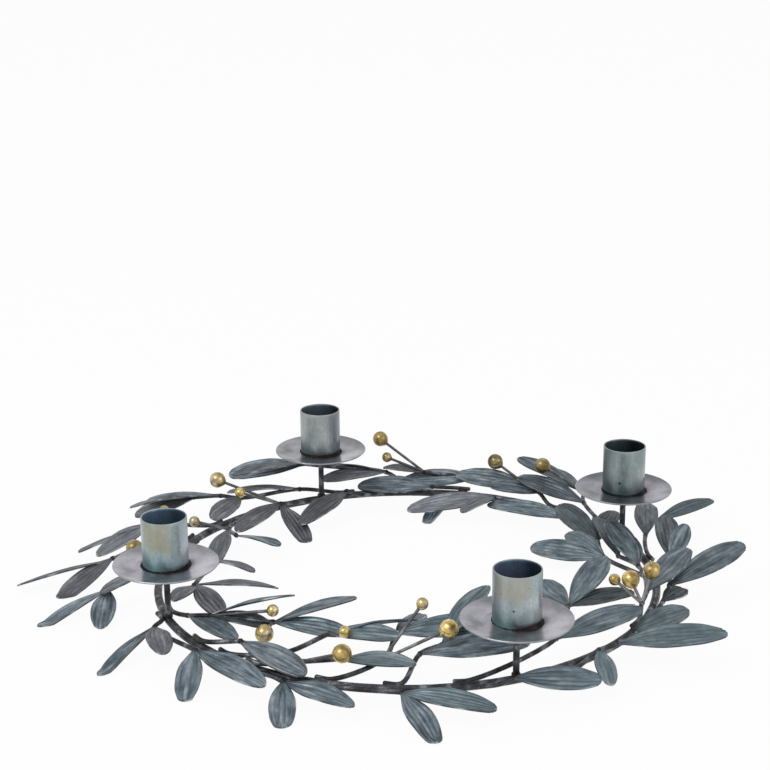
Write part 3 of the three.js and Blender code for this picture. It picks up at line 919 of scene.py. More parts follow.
CUPS = (
    CupZinc("cup_zinc_1", Tint(107, 119, 122), Tint(132, 144, 146), Tint(157, 166, 165),
            foot=Tint(78, 96, 96), side_shading=Tint(88, 98, 101), side_shading_dir=(-1.0, 0.0), side_shading_share=0.75,
            inside=Tint(116, 136, 142), depth=Tint(46, 55, 60), smear_share=0.0,
            blot=(-4.0, -11.8, 8.0), blot_radius=0.8),
    CupZinc("cup_zinc_2", Tint(124, 138, 136), Tint(152, 159, 159), Tint(170, 173, 175),
            foot=Tint(84, 106, 102), side_shading=Tint(110, 118, 131), side_shading_dir=(1.0, 0.0), side_shading_share=0.6,
            inside=Tint(136, 152, 168), depth=Tint(64, 74, 84)),
    CupZinc("cup_zinc_3", Tint(134, 156, 161), Tint(156, 176, 181), Tint(174, 190, 194),
            foot=Tint(94, 128, 130), side_shading=Tint(160, 163, 174), side_shading_dir=(0.98, -0.2), side_shading_share=0.6,
            inside=Tint(156, 184, 212), depth=Tint(84, 104, 118), straw_side=(-0.36, -0.93),
            straw_share=0.72),
    CupZinc("cup_zinc_4", Tint(136, 152, 155), Tint(158, 171, 174), Tint(178, 187, 188),
            foot=Tint(96, 128, 128), side_shading=Tint(112, 124, 128), side_shading_dir=(-1.0, 0.0), side_shading_share=0.8,
            inside=Tint(156, 178, 204), depth=Tint(62, 74, 86), straw=Tint(156, 149, 132),
            straw_side=(-0.1, -1.0), straw_share=0.62, straw_height=16.0, smear_share=0.9,
            blot=(-0.8, -12.4, 10.0), blot_radius=0.55),
)

# Lumpy braze round the foot of a cup, near black with a purple-brown bloom
BLACK_BRAZE = Metal("black_braze", Tint(9, 8, 9), Tint(17, 14, 16), Tint(46, 35, 39),
                    cloud_scale=140.0, grain_scale=1100.0, metallic=0.1, rough=0.70, polished=0.50,
                    bump=0.35, gloss=0.12)


@dataclass
class Finishes:
    """The materials of the wreath, made once."""

    leaf: bpy.types.Material = field(init=False)
    rod: bpy.types.Material = field(init=False)
    plates: list[bpy.types.Material] = field(init=False)
    cups: list[bpy.types.Material] = field(init=False)
    braze: bpy.types.Material = field(init=False)
    gold: bpy.types.Material = field(init=False)

    def __post_init__(self) -> None:
        """Make every material from its finish."""
        patina = PatinaGroup()
        self.leaf = LeafZinc().material(patina)
        self.rod = RodSteel().material(patina)
        self.plates = [plate.material(patina) for plate in PLATES]
        self.cups = [cup.material(patina) for cup in CUPS]
        self.braze = BLACK_BRAZE.material(patina)
        self.gold = BerryGold().material(patina)


def ease(value: float, start: float, end: float) -> float:
    """Rise smoothly from 0 at start to 1 at end."""
    share = min(1.0, max(0.0, (value - start) / (end - start)))
    return share * share * (3 - 2 * share)


def smooth_table(table: Sequence[Pair], place: float) -> float:
    """Read a table of points as one smooth curve.

    Args:
        table: Points in rising order of place.
        place: Where to read it.

    Returns:
        The curve's height there.
    """
    place = min(max(place, table[0][0]), table[-1][0])
    last = len(table) - 2
    step = next((i for i in range(last + 1) if place <= table[i + 1][0]), last)
    (x0, y0), (x1, y1) = table[step], table[step + 1]
    before = table[max(step - 1, 0)]
    after = table[min(step + 2, len(table) - 1)]
    slope0 = (y1 - before[1]) / (x1 - before[0])
    slope1 = (after[1] - y0) / (after[0] - x0)
    width = x1 - x0
    t = (place - x0) / width
    rise = y0 * (1 + 2 * t) * (1 - t) ** 2 + y1 * t * t * (3 - 2 * t)
    return rise + width * (slope0 * t * (1 - t) ** 2 - slope1 * t * t * (1 - t))


def add_piece(name: str, shape: bmesh.types.BMesh, material: bpy.types.Material,
              node: str | None = None) -> None:
    """Turn a finished bmesh into a piece that rides on the holder.

    Args:
        name: The piece's name.
        shape: The bmesh, which is freed.
        material: Its finish.
        node: The CAD node that the piece stands for, if any.
    """
    mesh = bpy.data.meshes.new(name)
    shape.to_mesh(mesh)
    shape.free()
    mesh.materials.append(material)
    mesh.shade_smooth()
    mesh.set_sharp_from_angle(angle=SMOOTH_LIMIT)
    piece = bpy.data.objects.new(name, mesh)
    bpy.context.scene.collection.objects.link(piece)
    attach(piece, BODY)
    if node is not None:
        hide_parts(node)
    log.info("%s: %d faces", name, len(mesh.polygons))


def spin_round(shape: bmesh.types.BMesh, steps: int) -> None:
    """Spin all that a bmesh holds once round the Z axis, and close it.

    Args:
        shape: The bmesh, which holds only the section to spin.
        steps: Number of faces round the axis.
    """
    bmesh.ops.spin(shape, geom=shape.verts[:] + shape.edges[:], cent=(0, 0, 0), axis=(0, 0, 1),
                   dvec=(0, 0, 0), angle=math.tau, steps=steps, use_merge=True)
    bmesh.ops.remove_doubles(shape, verts=shape.verts[:], dist=WELD)
    bmesh.ops.recalc_face_normals(shape, faces=shape.faces[:])


def lathe(shape: bmesh.types.BMesh, profile: Sequence[Pair], steps: int, closed: bool) -> None:
    """Spin a profile round the Z axis.

    Args:
        shape: The bmesh that takes the new faces. It holds nothing else yet.
        profile: Radius and height of each point.
        steps: Number of faces round the axis.
        closed: Whether the profile's last point joins its first.
    """
    verts = [shape.verts.new((radius, 0.0, height)) for radius, height in profile]
    for pair in zip(verts, verts[1:]):
        shape.edges.new(pair)
    if closed:
        shape.edges.new((verts[-1], verts[0]))
    spin_round(shape, steps)


class RodLook(Enum):
    """What the rod attribute says of a vertex: how much of it is bare wire, and how much is braze."""

    ROD = (0.0, 0.0, 0.0)
    WIRE = (1.0, 0.0, 0.0)
    DARK_WIRE = (0.4, 0.0, 0.0)
    BRAZE = (0.0, 1.0, 0.0)


def sweep(shape: bmesh.types.BMesh, points: Sequence[Vector], radius: float, sides: int,
          look: RodLook) -> None:
    """Draw a round rod with softened ends along a line of points.

    Args:
        shape: The bmesh that takes the rod. It has the rod attribute.
        points: The rod's middle line.
        radius: The rod's radius.
        sides: Number of faces round the rod.
        look: The rod's look.
    """
    first = (points[1] - points[0]).normalized()
    last = (points[-1] - points[-2]).normalized()
    soft = ROD_END_LENGTH * radius
    stations = [(points[0], ROD_END_SHARE), (points[0] + first * soft, 1.0)]
    stations += [(point, 1.0) for point in points[1:-1]]
    stations += [(points[-1] - last * soft, 1.0), (points[-1], ROD_END_SHARE)]
    turn = first.to_track_quat("Z", "Y")
    frames = []
    for index, (point, share) in enumerate(stations):
        before = stations[max(index - 1, 0)][0]
        after = stations[min(index + 1, len(stations) - 1)][0]
        ahead = (after - before).normalized()
        turn = (turn @ UP).rotation_difference(ahead) @ turn
        size = Matrix.Diagonal((radius * share, radius * share, radius, 1.0))
        frames.append(Matrix.Translation(point) @ turn.to_matrix().to_4x4() @ size)
    ring = bmesh.ops.create_circle(shape, cap_ends=True, segments=sides, radius=1.0,
                                   matrix=frames[0])["verts"]
    made = list(ring)
    edges = list({edge for vert in ring for edge in vert.link_edges})
    for here, there in zip(frames, frames[1:]):
        grown = bmesh.ops.extrude_edge_only(shape, edges=edges)["geom"]
        ring = [item for item in grown if isinstance(item, bmesh.types.BMVert)]
        edges = [item for item in grown if isinstance(item, bmesh.types.BMEdge)]
        edges = [edge for edge in edges if all(vert in ring for vert in edge.verts)]
        bmesh.ops.transform(shape, matrix=there @ here.inverted(), verts=ring)
        made += ring
    bmesh.ops.edgeloop_fill(shape, edges=edges)
    faces = list({face for vert in made for face in vert.link_faces})
    bmesh.ops.recalc_face_normals(shape, faces=faces)
    layer = shape.verts.layers.float_vector["rod"]
    for vert in made:
        vert[layer] = look.value


@dataclass(frozen=True)
class Bead:
    """An uneven bead of braze: its radius across, half its length, and its coarse and fine lumps."""

    radius: float
    half_length: float
    lump: float = 0.22
    coarse_scale: float = 900.0
    fine_scale: float = 2100.0
    fine_share: float = 0.5

    def build(self, shape: bmesh.types.BMesh, place: Vector, along: Vector) -> None:
        """Add the bead to a rod.

        Args:
            shape: The bmesh that takes the bead. It has the rod attribute.
            place: The bead's middle.
            along: The way the bead is drawn out.
        """
        turn = along.to_track_quat("Z", "Y").to_matrix().to_4x4()
        size = Matrix.Diagonal((self.radius, self.radius, self.half_length, 1.0))
        verts = bmesh.ops.create_icosphere(shape, subdivisions=3, radius=1.0,
                                           matrix=Matrix.Translation(place) @ turn @ size)["verts"]
        layer = shape.verts.layers.float_vector["rod"]
        for vert in verts:
            coarse = noise.noise(vert.co * self.coarse_scale)
            fine = noise.noise(vert.co * self.fine_scale)
            vert.co += (vert.co - place) * (self.lump * (coarse + self.fine_share * fine))
            vert[layer] = RodLook.BRAZE.value


@dataclass(frozen=True)
class OvalRing:
    """The ring rod: sizes along the middle of the rod, and places measured from it."""

    length: float = 0.282
    depth: float = 0.275
    height: float = 0.010
    rod_radius: float = 0.0023
    centre: Pair = (0.015, 0.0)
    rod_sides: int = 20
    steps: int = 240
    dent: float = 0.00008
    dent_scale: float = 260.0
    dent_bias: float = 0.6

    def point(self, angle: float, out: float, up: float) -> Vector:
        """Give a point near the ring.

        Args:
            angle: Degrees round the ring.
            out: Millimetres outwards from the rod's middle line.
            up: Millimetres above it.

        Returns:
            The point in the part's frame.
        """
        turn = math.radians(angle)
        across = math.hypot(self.depth * math.cos(turn), self.length * math.sin(turn))
        reach = self.length * self.depth / (2 * across) + out * MM
        x = self.centre[0] + reach * math.cos(turn)
        y = self.centre[1] + reach * math.sin(turn)
        return Vector((x, y, self.height + up * MM))

    @staticmethod
    def direction(angle: float, heading: float, pitch: float) -> Vector:
        """Give a direction by its angle round the ring, heading from outwards and pitch, in degrees."""
        turn = math.radians(angle + heading)
        level = math.cos(math.radians(pitch))
        return Vector((level * math.cos(turn), level * math.sin(turn), math.sin(math.radians(pitch))))

    def build(self, finishes: Finishes) -> None:
        """Spin the rod into a ring and draw it out into the oval."""
        shape = bmesh.new()
        upright = Matrix.Translation((self.depth / 2, 0, 0)) @ Matrix.Rotation(math.pi / 2, 4, "X")
        bmesh.ops.create_circle(shape, segments=self.rod_sides, radius=self.rod_radius, matrix=upright)
        spin_round(shape, self.steps)
        for vert in shape.verts:
            rough = noise.noise(vert.co * self.dent_scale) - self.dent_bias
            vert.co += vert.normal * (self.dent * rough)
        bmesh.ops.scale(shape, vec=(self.length / self.depth, 1, 1), verts=shape.verts[:])
        bmesh.ops.translate(shape, vec=(*self.centre, self.height), verts=shape.verts[:])
        add_piece("ring_rod", shape, finishes.rod, "ring")


@dataclass(frozen=True)
class BrazeFillet:
    """Braze round a cup's foot: a lumpy fillet that ran further out on one side.

    Lengths are in millimetres: the profile goes outwards and upwards, the overlap is how far it starts
    inside the cup's wall, and the seam is how near its start, out and up, the fillet stays as it is.
    """

    profile: tuple[Pair, ...] = ((0.0, 0.05), (0.0, 1.2), (0.45, 1.1), (0.75, 0.75), (1.05, 0.4), (1.4, 0.05))
    overlap: float = 0.25
    seam: Pair = (0.02, 0.1)
    side: Vector = Vector((0.75, -0.66, 0.0))
    side_band: Pair = (0.55, 1.0)
    side_share: float = 0.45
    share: float = 0.75
    least_share: float = 0.25
    lump: float = 0.6
    lump_scale: float = 90.0
    pit: float = 0.2
    pit_scale: float = 700.0

    def build(self, cup_radius: float, steps: int, seed: Vector) -> bmesh.types.BMesh:
        """Spin the fillet and make it lumpy.

        Args:
            cup_radius: Outer radius of the cup.
            steps: Number of faces round the cup.
            seed: Where the lumps are read, which differs from cup to cup.

        Returns:
            The fillet round the Z axis.
        """
        inner = cup_radius - self.overlap * MM
        shape = bmesh.new()
        lathe(shape, [(inner + out * MM, height * MM) for out, height in self.profile], steps, closed=True)
        bmesh.ops.subdivide_edges(shape, edges=shape.edges[:], cuts=1, use_grid_fill=True)
        for vert in shape.verts:
            flat = Vector((vert.co.x, vert.co.y, 0))
            out = flat.length - inner
            if out < self.seam[0] * MM and vert.co.z < self.seam[1] * MM:
                continue
            flow = ease(flat.normalized().dot(self.side), *self.side_band)
            share = self.share + self.side_share * flow
            share += self.lump * noise.noise(flat * self.lump_scale + seed)
            share += self.pit * noise.noise(vert.co * self.pit_scale + seed)
            share = max(self.least_share, share)
            vert.co -= flat.normalized() * (out * (1 - share))
            vert.co.z *= share
        return shape


@dataclass
class CandleStation:
    """A post on the ring with its drip plate, candle cup and braze.

    Seeds are what the unevenness of a piece moves by from one station to the next.
    """

    number: int
    centre: Vector
    ring: OvalRing
    turn: float
    round_steps: int = 112
    post_radius: float = 0.0017
    post_sides: int = 20
    post_levels: int = 9
    post_sink: float = 0.0004
    post_gap: float = 0.0001
    foot_bead: Bead = Bead(0.0025, 0.0017)
    foot_bead_rise: float = 0.0006
    head_bead: Bead = Bead(0.0027, 0.0008)
    head_bead_drop: float = 0.0007
    plate_height: float = 0.0415
    plate_radius: float = 0.0285
    plate_flat: float = 0.0155
    plate_flat_rows: Triple = (0.0, 0.35, 0.7)
    plate_sheet: float = 0.0010
    plate_dish: float = 0.0014
    plate_curve: float = 1.5
    plate_rows: int = 14
    plate_rim_inset: float = 0.00035
    plate_rim_gap: float = 0.00002
    plate_rim_rows: Pair = (0.3, 0.7)
    plate_warp: float = 0.00012
    plate_warp_scale: float = 45.0
    plate_seed: float = 3.7
    cup_radius: float = 0.0125
    cup_wall: float = 0.0008
    cup_height: float = 0.0275
    cup_rows: int = 18
    cup_shoulder: float = 0.0003
    cup_lip: tuple[Pair, Pair] = ((0.0001, 0.00006), (0.00028, 0.0))
    cup_dent: float = 0.00016
    cup_dent_scale: float = 50.0
    cup_dent_bias: float = 0.5
    cup_seed: float = 5.3
    fillet: BrazeFillet = BrazeFillet()
    fillet_seed: float = 4.1

    def build(self, finishes: Finishes) -> None:
        """Build the four pieces of the station."""
        self.build_post(finishes)
        self.build_plate(finishes)
        self.build_cup(finishes)
        self.build_braze(finishes)

    def set_place(self, shape: bmesh.types.BMesh, height: float) -> None:
        """Note each vertex's place from the station's middle, then move the shape there.

        Args:
            shape: The bmesh, still round the Z axis.
            height: Height of the shape's foot above the table.
        """
        layer = shape.verts.layers.float_vector.new("place")
        turned = Matrix.Rotation(self.turn, 3, "Z")
        for vert in shape.verts:
            vert[layer] = turned @ (vert.co / MM)
        bmesh.ops.translate(shape, vec=(self.centre.x, self.centre.y, height), verts=shape.verts[:])

    def build_post(self, finishes: Finishes) -> None:
        """Build the post, brazed to the ring at its foot and to the plate at its head."""
        shape = bmesh.new()
        shape.verts.layers.float_vector.new("rod")
        foot = self.ring.height + self.ring.rod_radius - self.post_sink
        rise = (self.plate_height - self.post_gap - foot) / (self.post_levels - 1)
        levels = [foot + rise * step for step in range(self.post_levels)]
        line = [Vector((self.centre.x, self.centre.y, level)) for level in levels]
        sweep(shape, line, self.post_radius, self.post_sides, RodLook.ROD)
        self.foot_bead.build(shape, line[0] + UP * self.foot_bead_rise, UP)
        self.head_bead.build(shape, line[-1] - UP * self.head_bead_drop, UP)
        add_piece(f"post_{self.number}_rod", shape, finishes.rod, f"post_{self.number}")

    def build_plate(self, finishes: Finishes) -> None:
        """Spin the shallow dish with its rounded rim."""
        slope = self.plate_radius - self.plate_rim_inset - self.plate_flat
        shares = [row / self.plate_rows for row in range(self.plate_rows + 1)]
        lower = [(self.plate_flat + slope * share, self.plate_dish * share ** self.plate_curve)
                 for share in shares]
        upper = [(radius, height + self.plate_sheet) for radius, height in reversed(lower)]
        edge = self.plate_radius - self.plate_rim_gap
        rim = [(edge, self.plate_dish + self.plate_sheet * share) for share in self.plate_rim_rows]
        middle = [(self.plate_flat * share, 0.0) for share in self.plate_flat_rows]
        top = [(radius, self.plate_sheet) for radius, _ in reversed(middle)]
        shape = bmesh.new()
        lathe(shape, middle + lower + rim + upper + top, self.round_steps, closed=False)
        seed = Vector((self.number * self.plate_seed, 0, 0))
        for vert in shape.verts:
            reach = math.hypot(vert.co.x, vert.co.y) / self.plate_radius
            vert.co.z += self.plate_warp * reach ** 3 * noise.noise(vert.co * self.plate_warp_scale + seed)
        self.set_place(shape, self.plate_height)
        add_piece(f"plate_{self.number}_dish", shape, finishes.plates[self.number - 1],
                  f"drip_plate_{self.number}")

    def build_cup(self, finishes: Finishes) -> None:
        """Spin the tube with a softened rim."""
        outer = self.cup_radius
        inner = outer - self.cup_wall
        shoulder = self.cup_height - self.cup_shoulder
        walls = [shoulder * row / self.cup_rows for row in range(self.cup_rows + 1)]
        profile = [(outer, height) for height in walls]
        profile += [(outer - inset, self.cup_height - drop) for inset, drop in self.cup_lip]
        profile += [(inner + inset, self.cup_height - drop) for inset, drop in reversed(self.cup_lip)]
        profile += [(inner, height) for height in reversed(walls)]
        shape = bmesh.new()
        lathe(shape, profile, self.round_steps, closed=True)
        seed = Vector((0, self.number * self.cup_seed, 0))
        for vert in shape.verts:
            flat = Vector((vert.co.x, vert.co.y, 0))
            dent = self.cup_dent_bias + noise.noise(flat * self.cup_dent_scale + seed)
            vert.co -= flat.normalized() * (self.cup_dent * dent)
        self.set_place(shape, self.plate_height + self.plate_sheet)
        add_piece(f"cup_{self.number}_tube", shape, finishes.cups[self.number - 1],
                  f"candle_cup_{self.number}")

    def build_braze(self, finishes: Finishes) -> None:
        """Lay the braze fillet round the cup's foot."""
        seed = Vector((0, 0, self.number * self.fillet_seed))
        shape = self.fillet.build(self.cup_radius, self.round_steps, seed)
        bmesh.ops.translate(shape, vec=(self.centre.x, self.centre.y, self.plate_height + self.plate_sheet),
                            verts=shape.verts[:])
        add_piece(f"cup_{self.number}_braze", shape, finishes.braze)


@dataclass(frozen=True)
class LeafForm:
    """How every leaf blank is cut and pressed.

    Lengths are in millimetres. The outline gives shares of the half width along the leaf, bands are
    shares of the leaf's length, and spreads are what chance gives.
    """

    outline: tuple[Pair, ...] = (
        (0.0, 0.15), (0.06, 0.19), (0.12, 0.34), (0.22, 0.58), (0.32, 0.79), (0.44, 0.94), (0.56, 0.985),
        (0.68, 0.95), (0.8, 0.84), (0.94, 0.52), (1.0, 0.3),
    )
    columns: int = 44
    rows: int = 26
    reach: float = 0.98
    sheet: float = 0.7
    tip_round: float = 0.06
    cupping: float = 1.1
    least_ribs: int = 3
    rib_pitch: float = 2.6
    rib_height: float = 0.24
    rib_bend: float = 0.25
    rib_bend_scale: float = 3.0
    rib_band: Pair = (0.04, 0.25)
    rib_tip_band: Pair = (0.8, 1.0)
    rib_tip_fade: float = 0.5
    rib_edge_fade: float = 0.5
    rib_strength: float = 0.75
    rib_uneven: float = 0.6
    rib_uneven_scales: Pair = (2.3, 2.0)
    dent: float = 0.35
    dent_scales: Pair = (1.1, 3.0)
    wave: float = 0.55
    wave_spread: Pair = (0.3, 1.0)
    wave_band: Pair = (0.1, 0.5)
    wave_swing: float = 4.5
    seed_spread: Pair = (0.0, 90.0)
    hue_spread: float = 0.7
    hue_drift: float = 4.5
    shade_spread: Pair = (0.88, 1.12)
    stem_band: Pair = (0.03, 0.2)
    rim_width: float = 0.45
    rim_tip_share: float = 0.5


@dataclass(frozen=True)
class BerryForm:
    """How every berry is rounded: its faces, its dimples and the collar where its wire enters.

    Fill, dimple and collar are shares of the berry's radius.
    """

    sides: int = 36
    rings: int = 24
    fill: float = 0.985
    dimple: float = 0.02
    dimple_scale: float = 220.0
    dimple_seed: float = 1.7
    collar_start: float = 0.8
    collar: float = 0.12


@dataclass
class LeafSprig:
    """A twig brazed to the ring, with its leaves, berry wires and berries."""

    number: int
    plan: SprigPlan
    ring: OvalRing
    draw: random.Random
    first_berry: int
    leaf_form: LeafForm = LeafForm()
    berry_form: BerryForm = BerryForm()
    twig_radius: float = 0.0013
    twig_sides: int = 12
    steps_per_span: int = 7
    seat_degrees: float = 4.0
    seat_gap: float = 0.0006
    seat_bead: Bead = Bead(0.00155, 0.0032)
    seat_lean: float = 0.35
    joint_bead: Bead = Bead(0.0015, 0.0019)
    wire_radius: float = 0.0009
    wire_sides: int = 10
    wire_steps: int = 5
    wire_overlap: float = 0.0008
    braze_gap: float = 0.0003

    def build(self, finishes: Finishes) -> int:
        """Build the sprig's pieces.

        Args:
            finishes: The materials.

        Returns:
            The number of the next berry.
        """
        self.build_blades(finishes)
        self.build_twig(finishes)
        return self.build_berries(finishes)

    def path(self) -> list[Vector]:
        """Give the twig's middle line: along the ring at its seat, then smoothly through the joints."""
        reach = self.ring.rod_radius + self.twig_radius + self.seat_gap
        side = self.plan.seat_side.value
        knots = []
        for angle in (self.plan.seat_angle - self.seat_degrees, self.plan.seat_angle):
            knots.append(self.ring.point(angle, 0, 0) + self.ring.direction(angle, 0, side) * reach)
        knots += [self.ring.point(joint.angle, joint.out, joint.up) for joint in self.plan.joints]
        knots = [2 * knots[0] - knots[1], *knots, 2 * knots[-1] - knots[-2]]
        line = [knots[1]]
        for p0, p1, p2, p3 in zip(knots, knots[1:], knots[2:], knots[3:]):
            d0, d1, d2 = (math.sqrt((b - a).length) for a, b in ((p0, p1), (p1, p2), (p2, p3)))
            t1 = ((p1 - p0) / d0 - (p2 - p0) / (d0 + d1) + (p2 - p1) / d1) * d1
            t2 = ((p2 - p1) / d1 - (p3 - p1) / (d1 + d2) + (p3 - p2) / d2) * d1
            for step in range(1, self.steps_per_span + 1):
                t = step / self.steps_per_span
                bend = p1 * (2 * t ** 3 - 3 * t * t + 1) + p2 * (3 * t * t - 2 * t ** 3)
                line.append(bend + t1 * (t ** 3 - 2 * t * t + t) + t2 * (t ** 3 - t * t))
        return line

    def build_twig(self, finishes: Finishes) -> None:
        """Build the twig, the berry wires and the braze at the seat and the joints."""
        shape = bmesh.new()
        shape.verts.layers.float_vector.new("rod")
        line = self.path()
        sweep(shape, line, self.twig_radius, self.twig_sides, RodLook.ROD)
        seat = (line[0] + line[self.steps_per_span]) / 2
        seat_angle = self.plan.seat_angle - self.seat_degrees / 2
        seat += (self.ring.point(seat_angle, 0, 0) - seat) * self.seat_lean
        self.seat_bead.build(shape, seat, line[1] - line[0])
        for index, joint in enumerate(self.plan.joints):
            root = self.ring.point(joint.angle, joint.out, joint.up)
            if joint.leaves or joint.berries:
                step = (index + 2) * self.steps_per_span
                self.joint_bead.build(shape, root, line[step] - line[step - 1])
            for berry in joint.berries:
                out = self.ring.direction(joint.angle, berry.heading, berry.pitch)
                end = root + out * (berry.wire * MM + self.wire_overlap)
                points = [root.lerp(end, step / self.wire_steps) for step in range(self.wire_steps + 1)]
                look = RodLook.WIRE if berry.bare_wire else RodLook.DARK_WIRE
                sweep(shape, points, self.wire_radius, self.wire_sides, look)
        add_piece(f"sprig_{self.number:02d}_twig", shape, finishes.rod)

    def add_leaf(self, shape: bmesh.types.BMesh, joint: Joint, leaf: Leaf) -> None:
        """Press one leaf out of a flat grid.

        Args:
            shape: The bmesh that takes the leaf.
            joint: Where the leaf grows.
            leaf: The leaf.
        """
        form = self.leaf_form
        blank_length, width = leaf.blank.value
        length = blank_length * form.reach
        forward = self.ring.direction(joint.angle, leaf.heading, leaf.pitch)
        level = self.ring.direction(joint.angle, leaf.heading + 90, 0)
        roll = math.radians(leaf.roll)
        side = level * math.cos(roll) + forward.cross(level) * math.sin(roll)
        up = forward.cross(side)
        root = self.ring.point(joint.angle, joint.out, joint.up)
        bend = math.radians(leaf.droop) / blank_length
        ribs = max(form.least_ribs, round(width / form.rib_pitch))
        seed = self.draw.uniform(*form.seed_spread)
        hue = form.hue_spread * self.draw.uniform(-1, 1) + form.hue_drift * (root.x - root.y)
        # The shade attribute: a random spread times tone, which holds painted light and shade
        shade = self.draw.uniform(*form.shade_spread) * leaf.tone
        phase = self.draw.uniform(0, math.tau)
        wave = self.draw.uniform(*form.wave_spread) * form.wave
        layers = shape.verts.layers.float_vector
        blade_layer, look_layer, shade_layer = (layers[name] for name in LEAF_LAYERS)
        verts = bmesh.ops.create_grid(shape, x_segments=form.columns, y_segments=form.rows,
                                      size=1.0)["verts"]
        stem_root = self.twig_radius / MM / 2
        for vert in verts:
            u = vert.co.x
            v = (vert.co.y + 1) / 2
            rounding = form.tip_round * length * max(0.0, 2 * v - 1) ** 2
            along = (length + stem_root) * v - stem_root - rounding * u * u
            edge_share = max(0.0, (length * v - rounding) / length)
            half = 0.5 * width * smooth_table(form.outline, edge_share)
            across = u * half
            drift = form.rib_bend * noise.noise(Vector((v * form.rib_bend_scale, seed, 1)))
            rib_turn = ribs * (u + 1) / 2 + 0.5 + drift
            fade = ease(v, *form.rib_band) * (1 - form.rib_tip_fade * ease(v, *form.rib_tip_band))
            fade *= 1 - form.rib_edge_fade * u ** 6
            rib_scale, length_scale = form.rib_uneven_scales
            spot = Vector((round(rib_turn) * rib_scale, v * length_scale, seed))
            strength = form.rib_strength + form.rib_uneven * noise.noise(spot)
            lift = form.cupping * (2 * across / width) ** 2
            lift += form.rib_height * strength * fade * math.cos(math.tau * rib_turn)
            lift += form.dent * noise.noise(Vector((u * form.dent_scales[0], v * form.dent_scales[1], seed)))
            lift += wave * u * ease(v, *form.wave_band) * math.sin(form.wave_swing * v + phase)
            swing = bend * along
            ahead = math.sin(swing) / bend - lift * math.sin(swing)
            rise = (1 - math.cos(swing)) / bend + lift * math.cos(swing)
            vert.co = root + (forward * ahead + up * rise + side * across) * MM
            vert.co.z = max(vert.co.z, form.sheet * MM)
            inset = min((1 - abs(u)) * half, (1 - v) * length * form.rim_tip_share)
            rim = max(0.0, 1 - inset / form.rim_width)
            vert[blade_layer] = Vector((rib_turn, along, seed))
            vert[look_layer] = Vector((1 - ease(v, *form.stem_band), rim, hue))
            vert[shade_layer] = Vector((shade, shade, shade))

    def build_blades(self, finishes: Finishes) -> None:
        """Build all the sprig's leaves as one piece of thin sheet."""
        shape = bmesh.new()
        for name in LEAF_LAYERS:
            shape.verts.layers.float_vector.new(name)
        for joint in self.plan.joints:
            for leaf in joint.leaves:
                self.add_leaf(shape, joint, leaf)
        bmesh.ops.solidify(shape, geom=shape.faces[:], thickness=self.leaf_form.sheet * MM)
        bmesh.ops.recalc_face_normals(shape, faces=shape.faces[:])
        for vert in shape.verts:
            vert.co.z = max(vert.co.z, 0.0)
        add_piece(f"sprig_{self.number:02d}_blades", shape, finishes.leaf,
                  f"leaf_sprig_{self.number:02d}")

    def build_berries(self, finishes: Finishes) -> int:
        """Build the berries, each with a small collar where its wire enters.

        Args:
            finishes: The materials.

        Returns:
            The number of the next berry.
        """
        form = self.berry_form
        number = self.first_berry
        for joint in self.plan.joints:
            root = self.ring.point(joint.angle, joint.out, joint.up)
            for berry in joint.berries:
                out = self.ring.direction(joint.angle, berry.heading, berry.pitch)
                radius = berry.size.value / 2 * MM
                centre = root + out * (berry.wire * MM + self.braze_gap + radius)
                shape = bmesh.new()
                layer = shape.verts.layers.float_vector.new("shade")
                bmesh.ops.create_uvsphere(shape, u_segments=form.sides, v_segments=form.rings,
                                          radius=radius * form.fill)
                seed = Vector((number * form.dimple_seed, 0, 0))
                for vert in shape.verts:
                    vert.co *= 1 + form.dimple * noise.noise(vert.co * form.dimple_scale + seed)
                    near_wire = ease(vert.co.z, -form.collar_start * radius, -radius)
                    vert.co.z -= form.collar * radius * near_wire
                    # The shade attribute holds tone: the berry's own lightness and painted light and shade
                    vert[layer] = Vector((berry.tone, berry.tone, berry.tone))
                turn = out.to_track_quat("Z", "Y").to_matrix().to_4x4()
                bmesh.ops.transform(shape, matrix=Matrix.Translation(centre) @ turn, verts=shape.verts[:])
                add_piece(f"berry_{number:02d}_ball", shape, finishes.gold, f"berry_{number:02d}")
                number += 1
        return number


@dataclass(frozen=True)
class PhotoCamera:
    """The photograph's camera, level but for a small roll, looking a little down along +Y."""

    place: Triple = (0.00347, -0.9124, 0.40758)
    pitch: float = 17.19
    roll: float = -0.50
    lens: float = 80.98
    sensor: float = 36.0

    def build(self) -> None:
        """Make the camera and look through it."""
        data = bpy.data.cameras.new("photo_camera")
        data.lens = self.lens
        data.sensor_width = self.sensor
        camera = bpy.data.objects.new("photo_camera", data)
        tilt = Matrix.Rotation(math.radians(90 - self.pitch), 4, "X")
        roll = Matrix.Rotation(math.radians(self.roll), 4, "Z")
        camera.matrix_world = Matrix.Translation(self.place) @ tilt @ roll
        bpy.context.scene.collection.objects.link(camera)
        bpy.context.scene.camera = camera


@dataclass(frozen=True)
class Softbox:
    """A square soft lamp that faces the wreath: its place, side and power in watts."""

    name: str
    place: Triple
    size: float
    power: float

    def build(self) -> None:
        """Add the lamp."""
        data = bpy.data.lights.new(self.name, "AREA")
        data.size = self.size
        data.energy = self.power
        lamp = bpy.data.objects.new(self.name, data)
        aim = (-Vector(self.place)).to_track_quat("-Z", "Y").to_matrix().to_4x4()
        lamp.matrix_world = Matrix.Translation(self.place) @ aim
        bpy.context.scene.collection.objects.link(lamp)


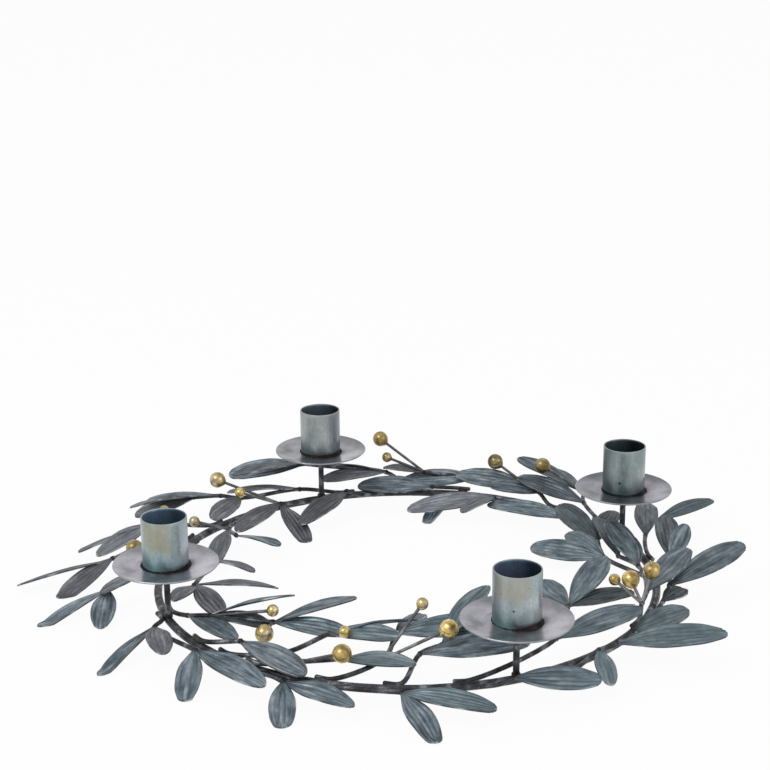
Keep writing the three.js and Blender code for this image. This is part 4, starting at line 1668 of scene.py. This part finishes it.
@dataclass(frozen=True)
class Studio:
    """White surroundings, a soft key from the upper left, a weak fill and a pale floor."""

    ambient: float = 0.62
    key: Softbox = Softbox("key_softbox", (-1.3, -1.1, 2.0), 1.5, 26.0)
    fill: Softbox = Softbox("fill_softbox", (1.6, -1.2, 1.0), 1.4, 6.0)
    white: tuple[float, float, float, float] = (1.0, 1.0, 1.0, 1.0)
    floor_grey: tuple[float, float, float, float] = (0.86, 0.86, 0.86, 1.0)
    floor_radius: float = 14.0
    floor_sides: int = 96
    floor_drop: float = 0.0004
    floor_glow: float = 0.95

    def build(self) -> None:
        """Build the world, the lamps and the floor."""
        bpy.context.scene.view_settings.view_transform = "Standard"
        self.build_world()
        self.key.build()
        self.fill.build()
        self.build_floor()

    @staticmethod
    def seen_directly(bench: ShaderBench) -> Socket:
        """Give 1 for rays from the camera, from gloss and through glass, and 0 for the rest."""
        path = bench.node("ShaderNodeLightPath")
        seen = bench.sums("MAXIMUM", path.outputs["Is Camera Ray"], path.outputs["Is Glossy Ray"])
        return bench.sums("MAXIMUM", seen, path.outputs["Is Transmission Ray"])

    def build_world(self) -> None:
        """Make the surroundings white where they are seen and gentler where they light."""
        world = bpy.data.worlds.new("white_studio")
        world.use_nodes = True
        bpy.context.scene.world = world
        bench = ShaderBench(world.node_tree)
        lighting = bench.node("ShaderNodeBackground")
        bench.feed_all(lighting, {"Color": self.white, "Strength": self.ambient})
        shown = bench.node("ShaderNodeBackground")
        bench.feed_all(shown, {"Color": self.white})
        surface = bench.mix_shaders(self.seen_directly(bench), lighting, shown)
        bench.end("ShaderNodeOutputWorld", surface)

    def build_floor(self) -> None:
        """Make the pale floor, which keeps a faint shadow."""
        material, bench = new_material("pale_floor")
        matt = bench.node("ShaderNodeBsdfDiffuse")
        bench.feed_all(matt, {"Color": self.floor_grey})
        glow = bench.node("ShaderNodeEmission")
        share = bench.times(self.seen_directly(bench), self.floor_glow)
        bench.end("ShaderNodeOutputMaterial", bench.mix_shaders(share, matt, glow))
        shape = bmesh.new()
        bmesh.ops.create_circle(shape, cap_ends=True, segments=self.floor_sides, radius=self.floor_radius,
                                matrix=Matrix.Translation((0, 0, -self.floor_drop)))
        mesh = bpy.data.meshes.new("floor")
        shape.to_mesh(mesh)
        shape.free()
        mesh.materials.append(material)
        floor = bpy.data.objects.new("floor", mesh)
        bpy.context.scene.collection.objects.link(floor)


def main() -> None:
    """Build the studio, the ring, the candle stations and the sprigs."""
    logging.basicConfig(level=logging.INFO, format="%(name)s: %(message)s")
    PhotoCamera().build()
    Studio().build()
    finishes = Finishes()
    ring = OvalRing()
    ring.build(finishes)
    for index, turn in enumerate(CUP_TURNS):
        angle = FIRST_CANDLE_ANGLE + 360 / len(CUP_TURNS) * index
        CandleStation(index + 1, ring.point(angle, 0, 0), ring, turn).build(finishes)
    draw = random.Random(CHANCE)
    berry = 1
    for index, plan in enumerate(PLAN):
        berry = LeafSprig(index + 1, plan, ring, draw, berry).build(finishes)


if __name__ == "__main__":
    main()
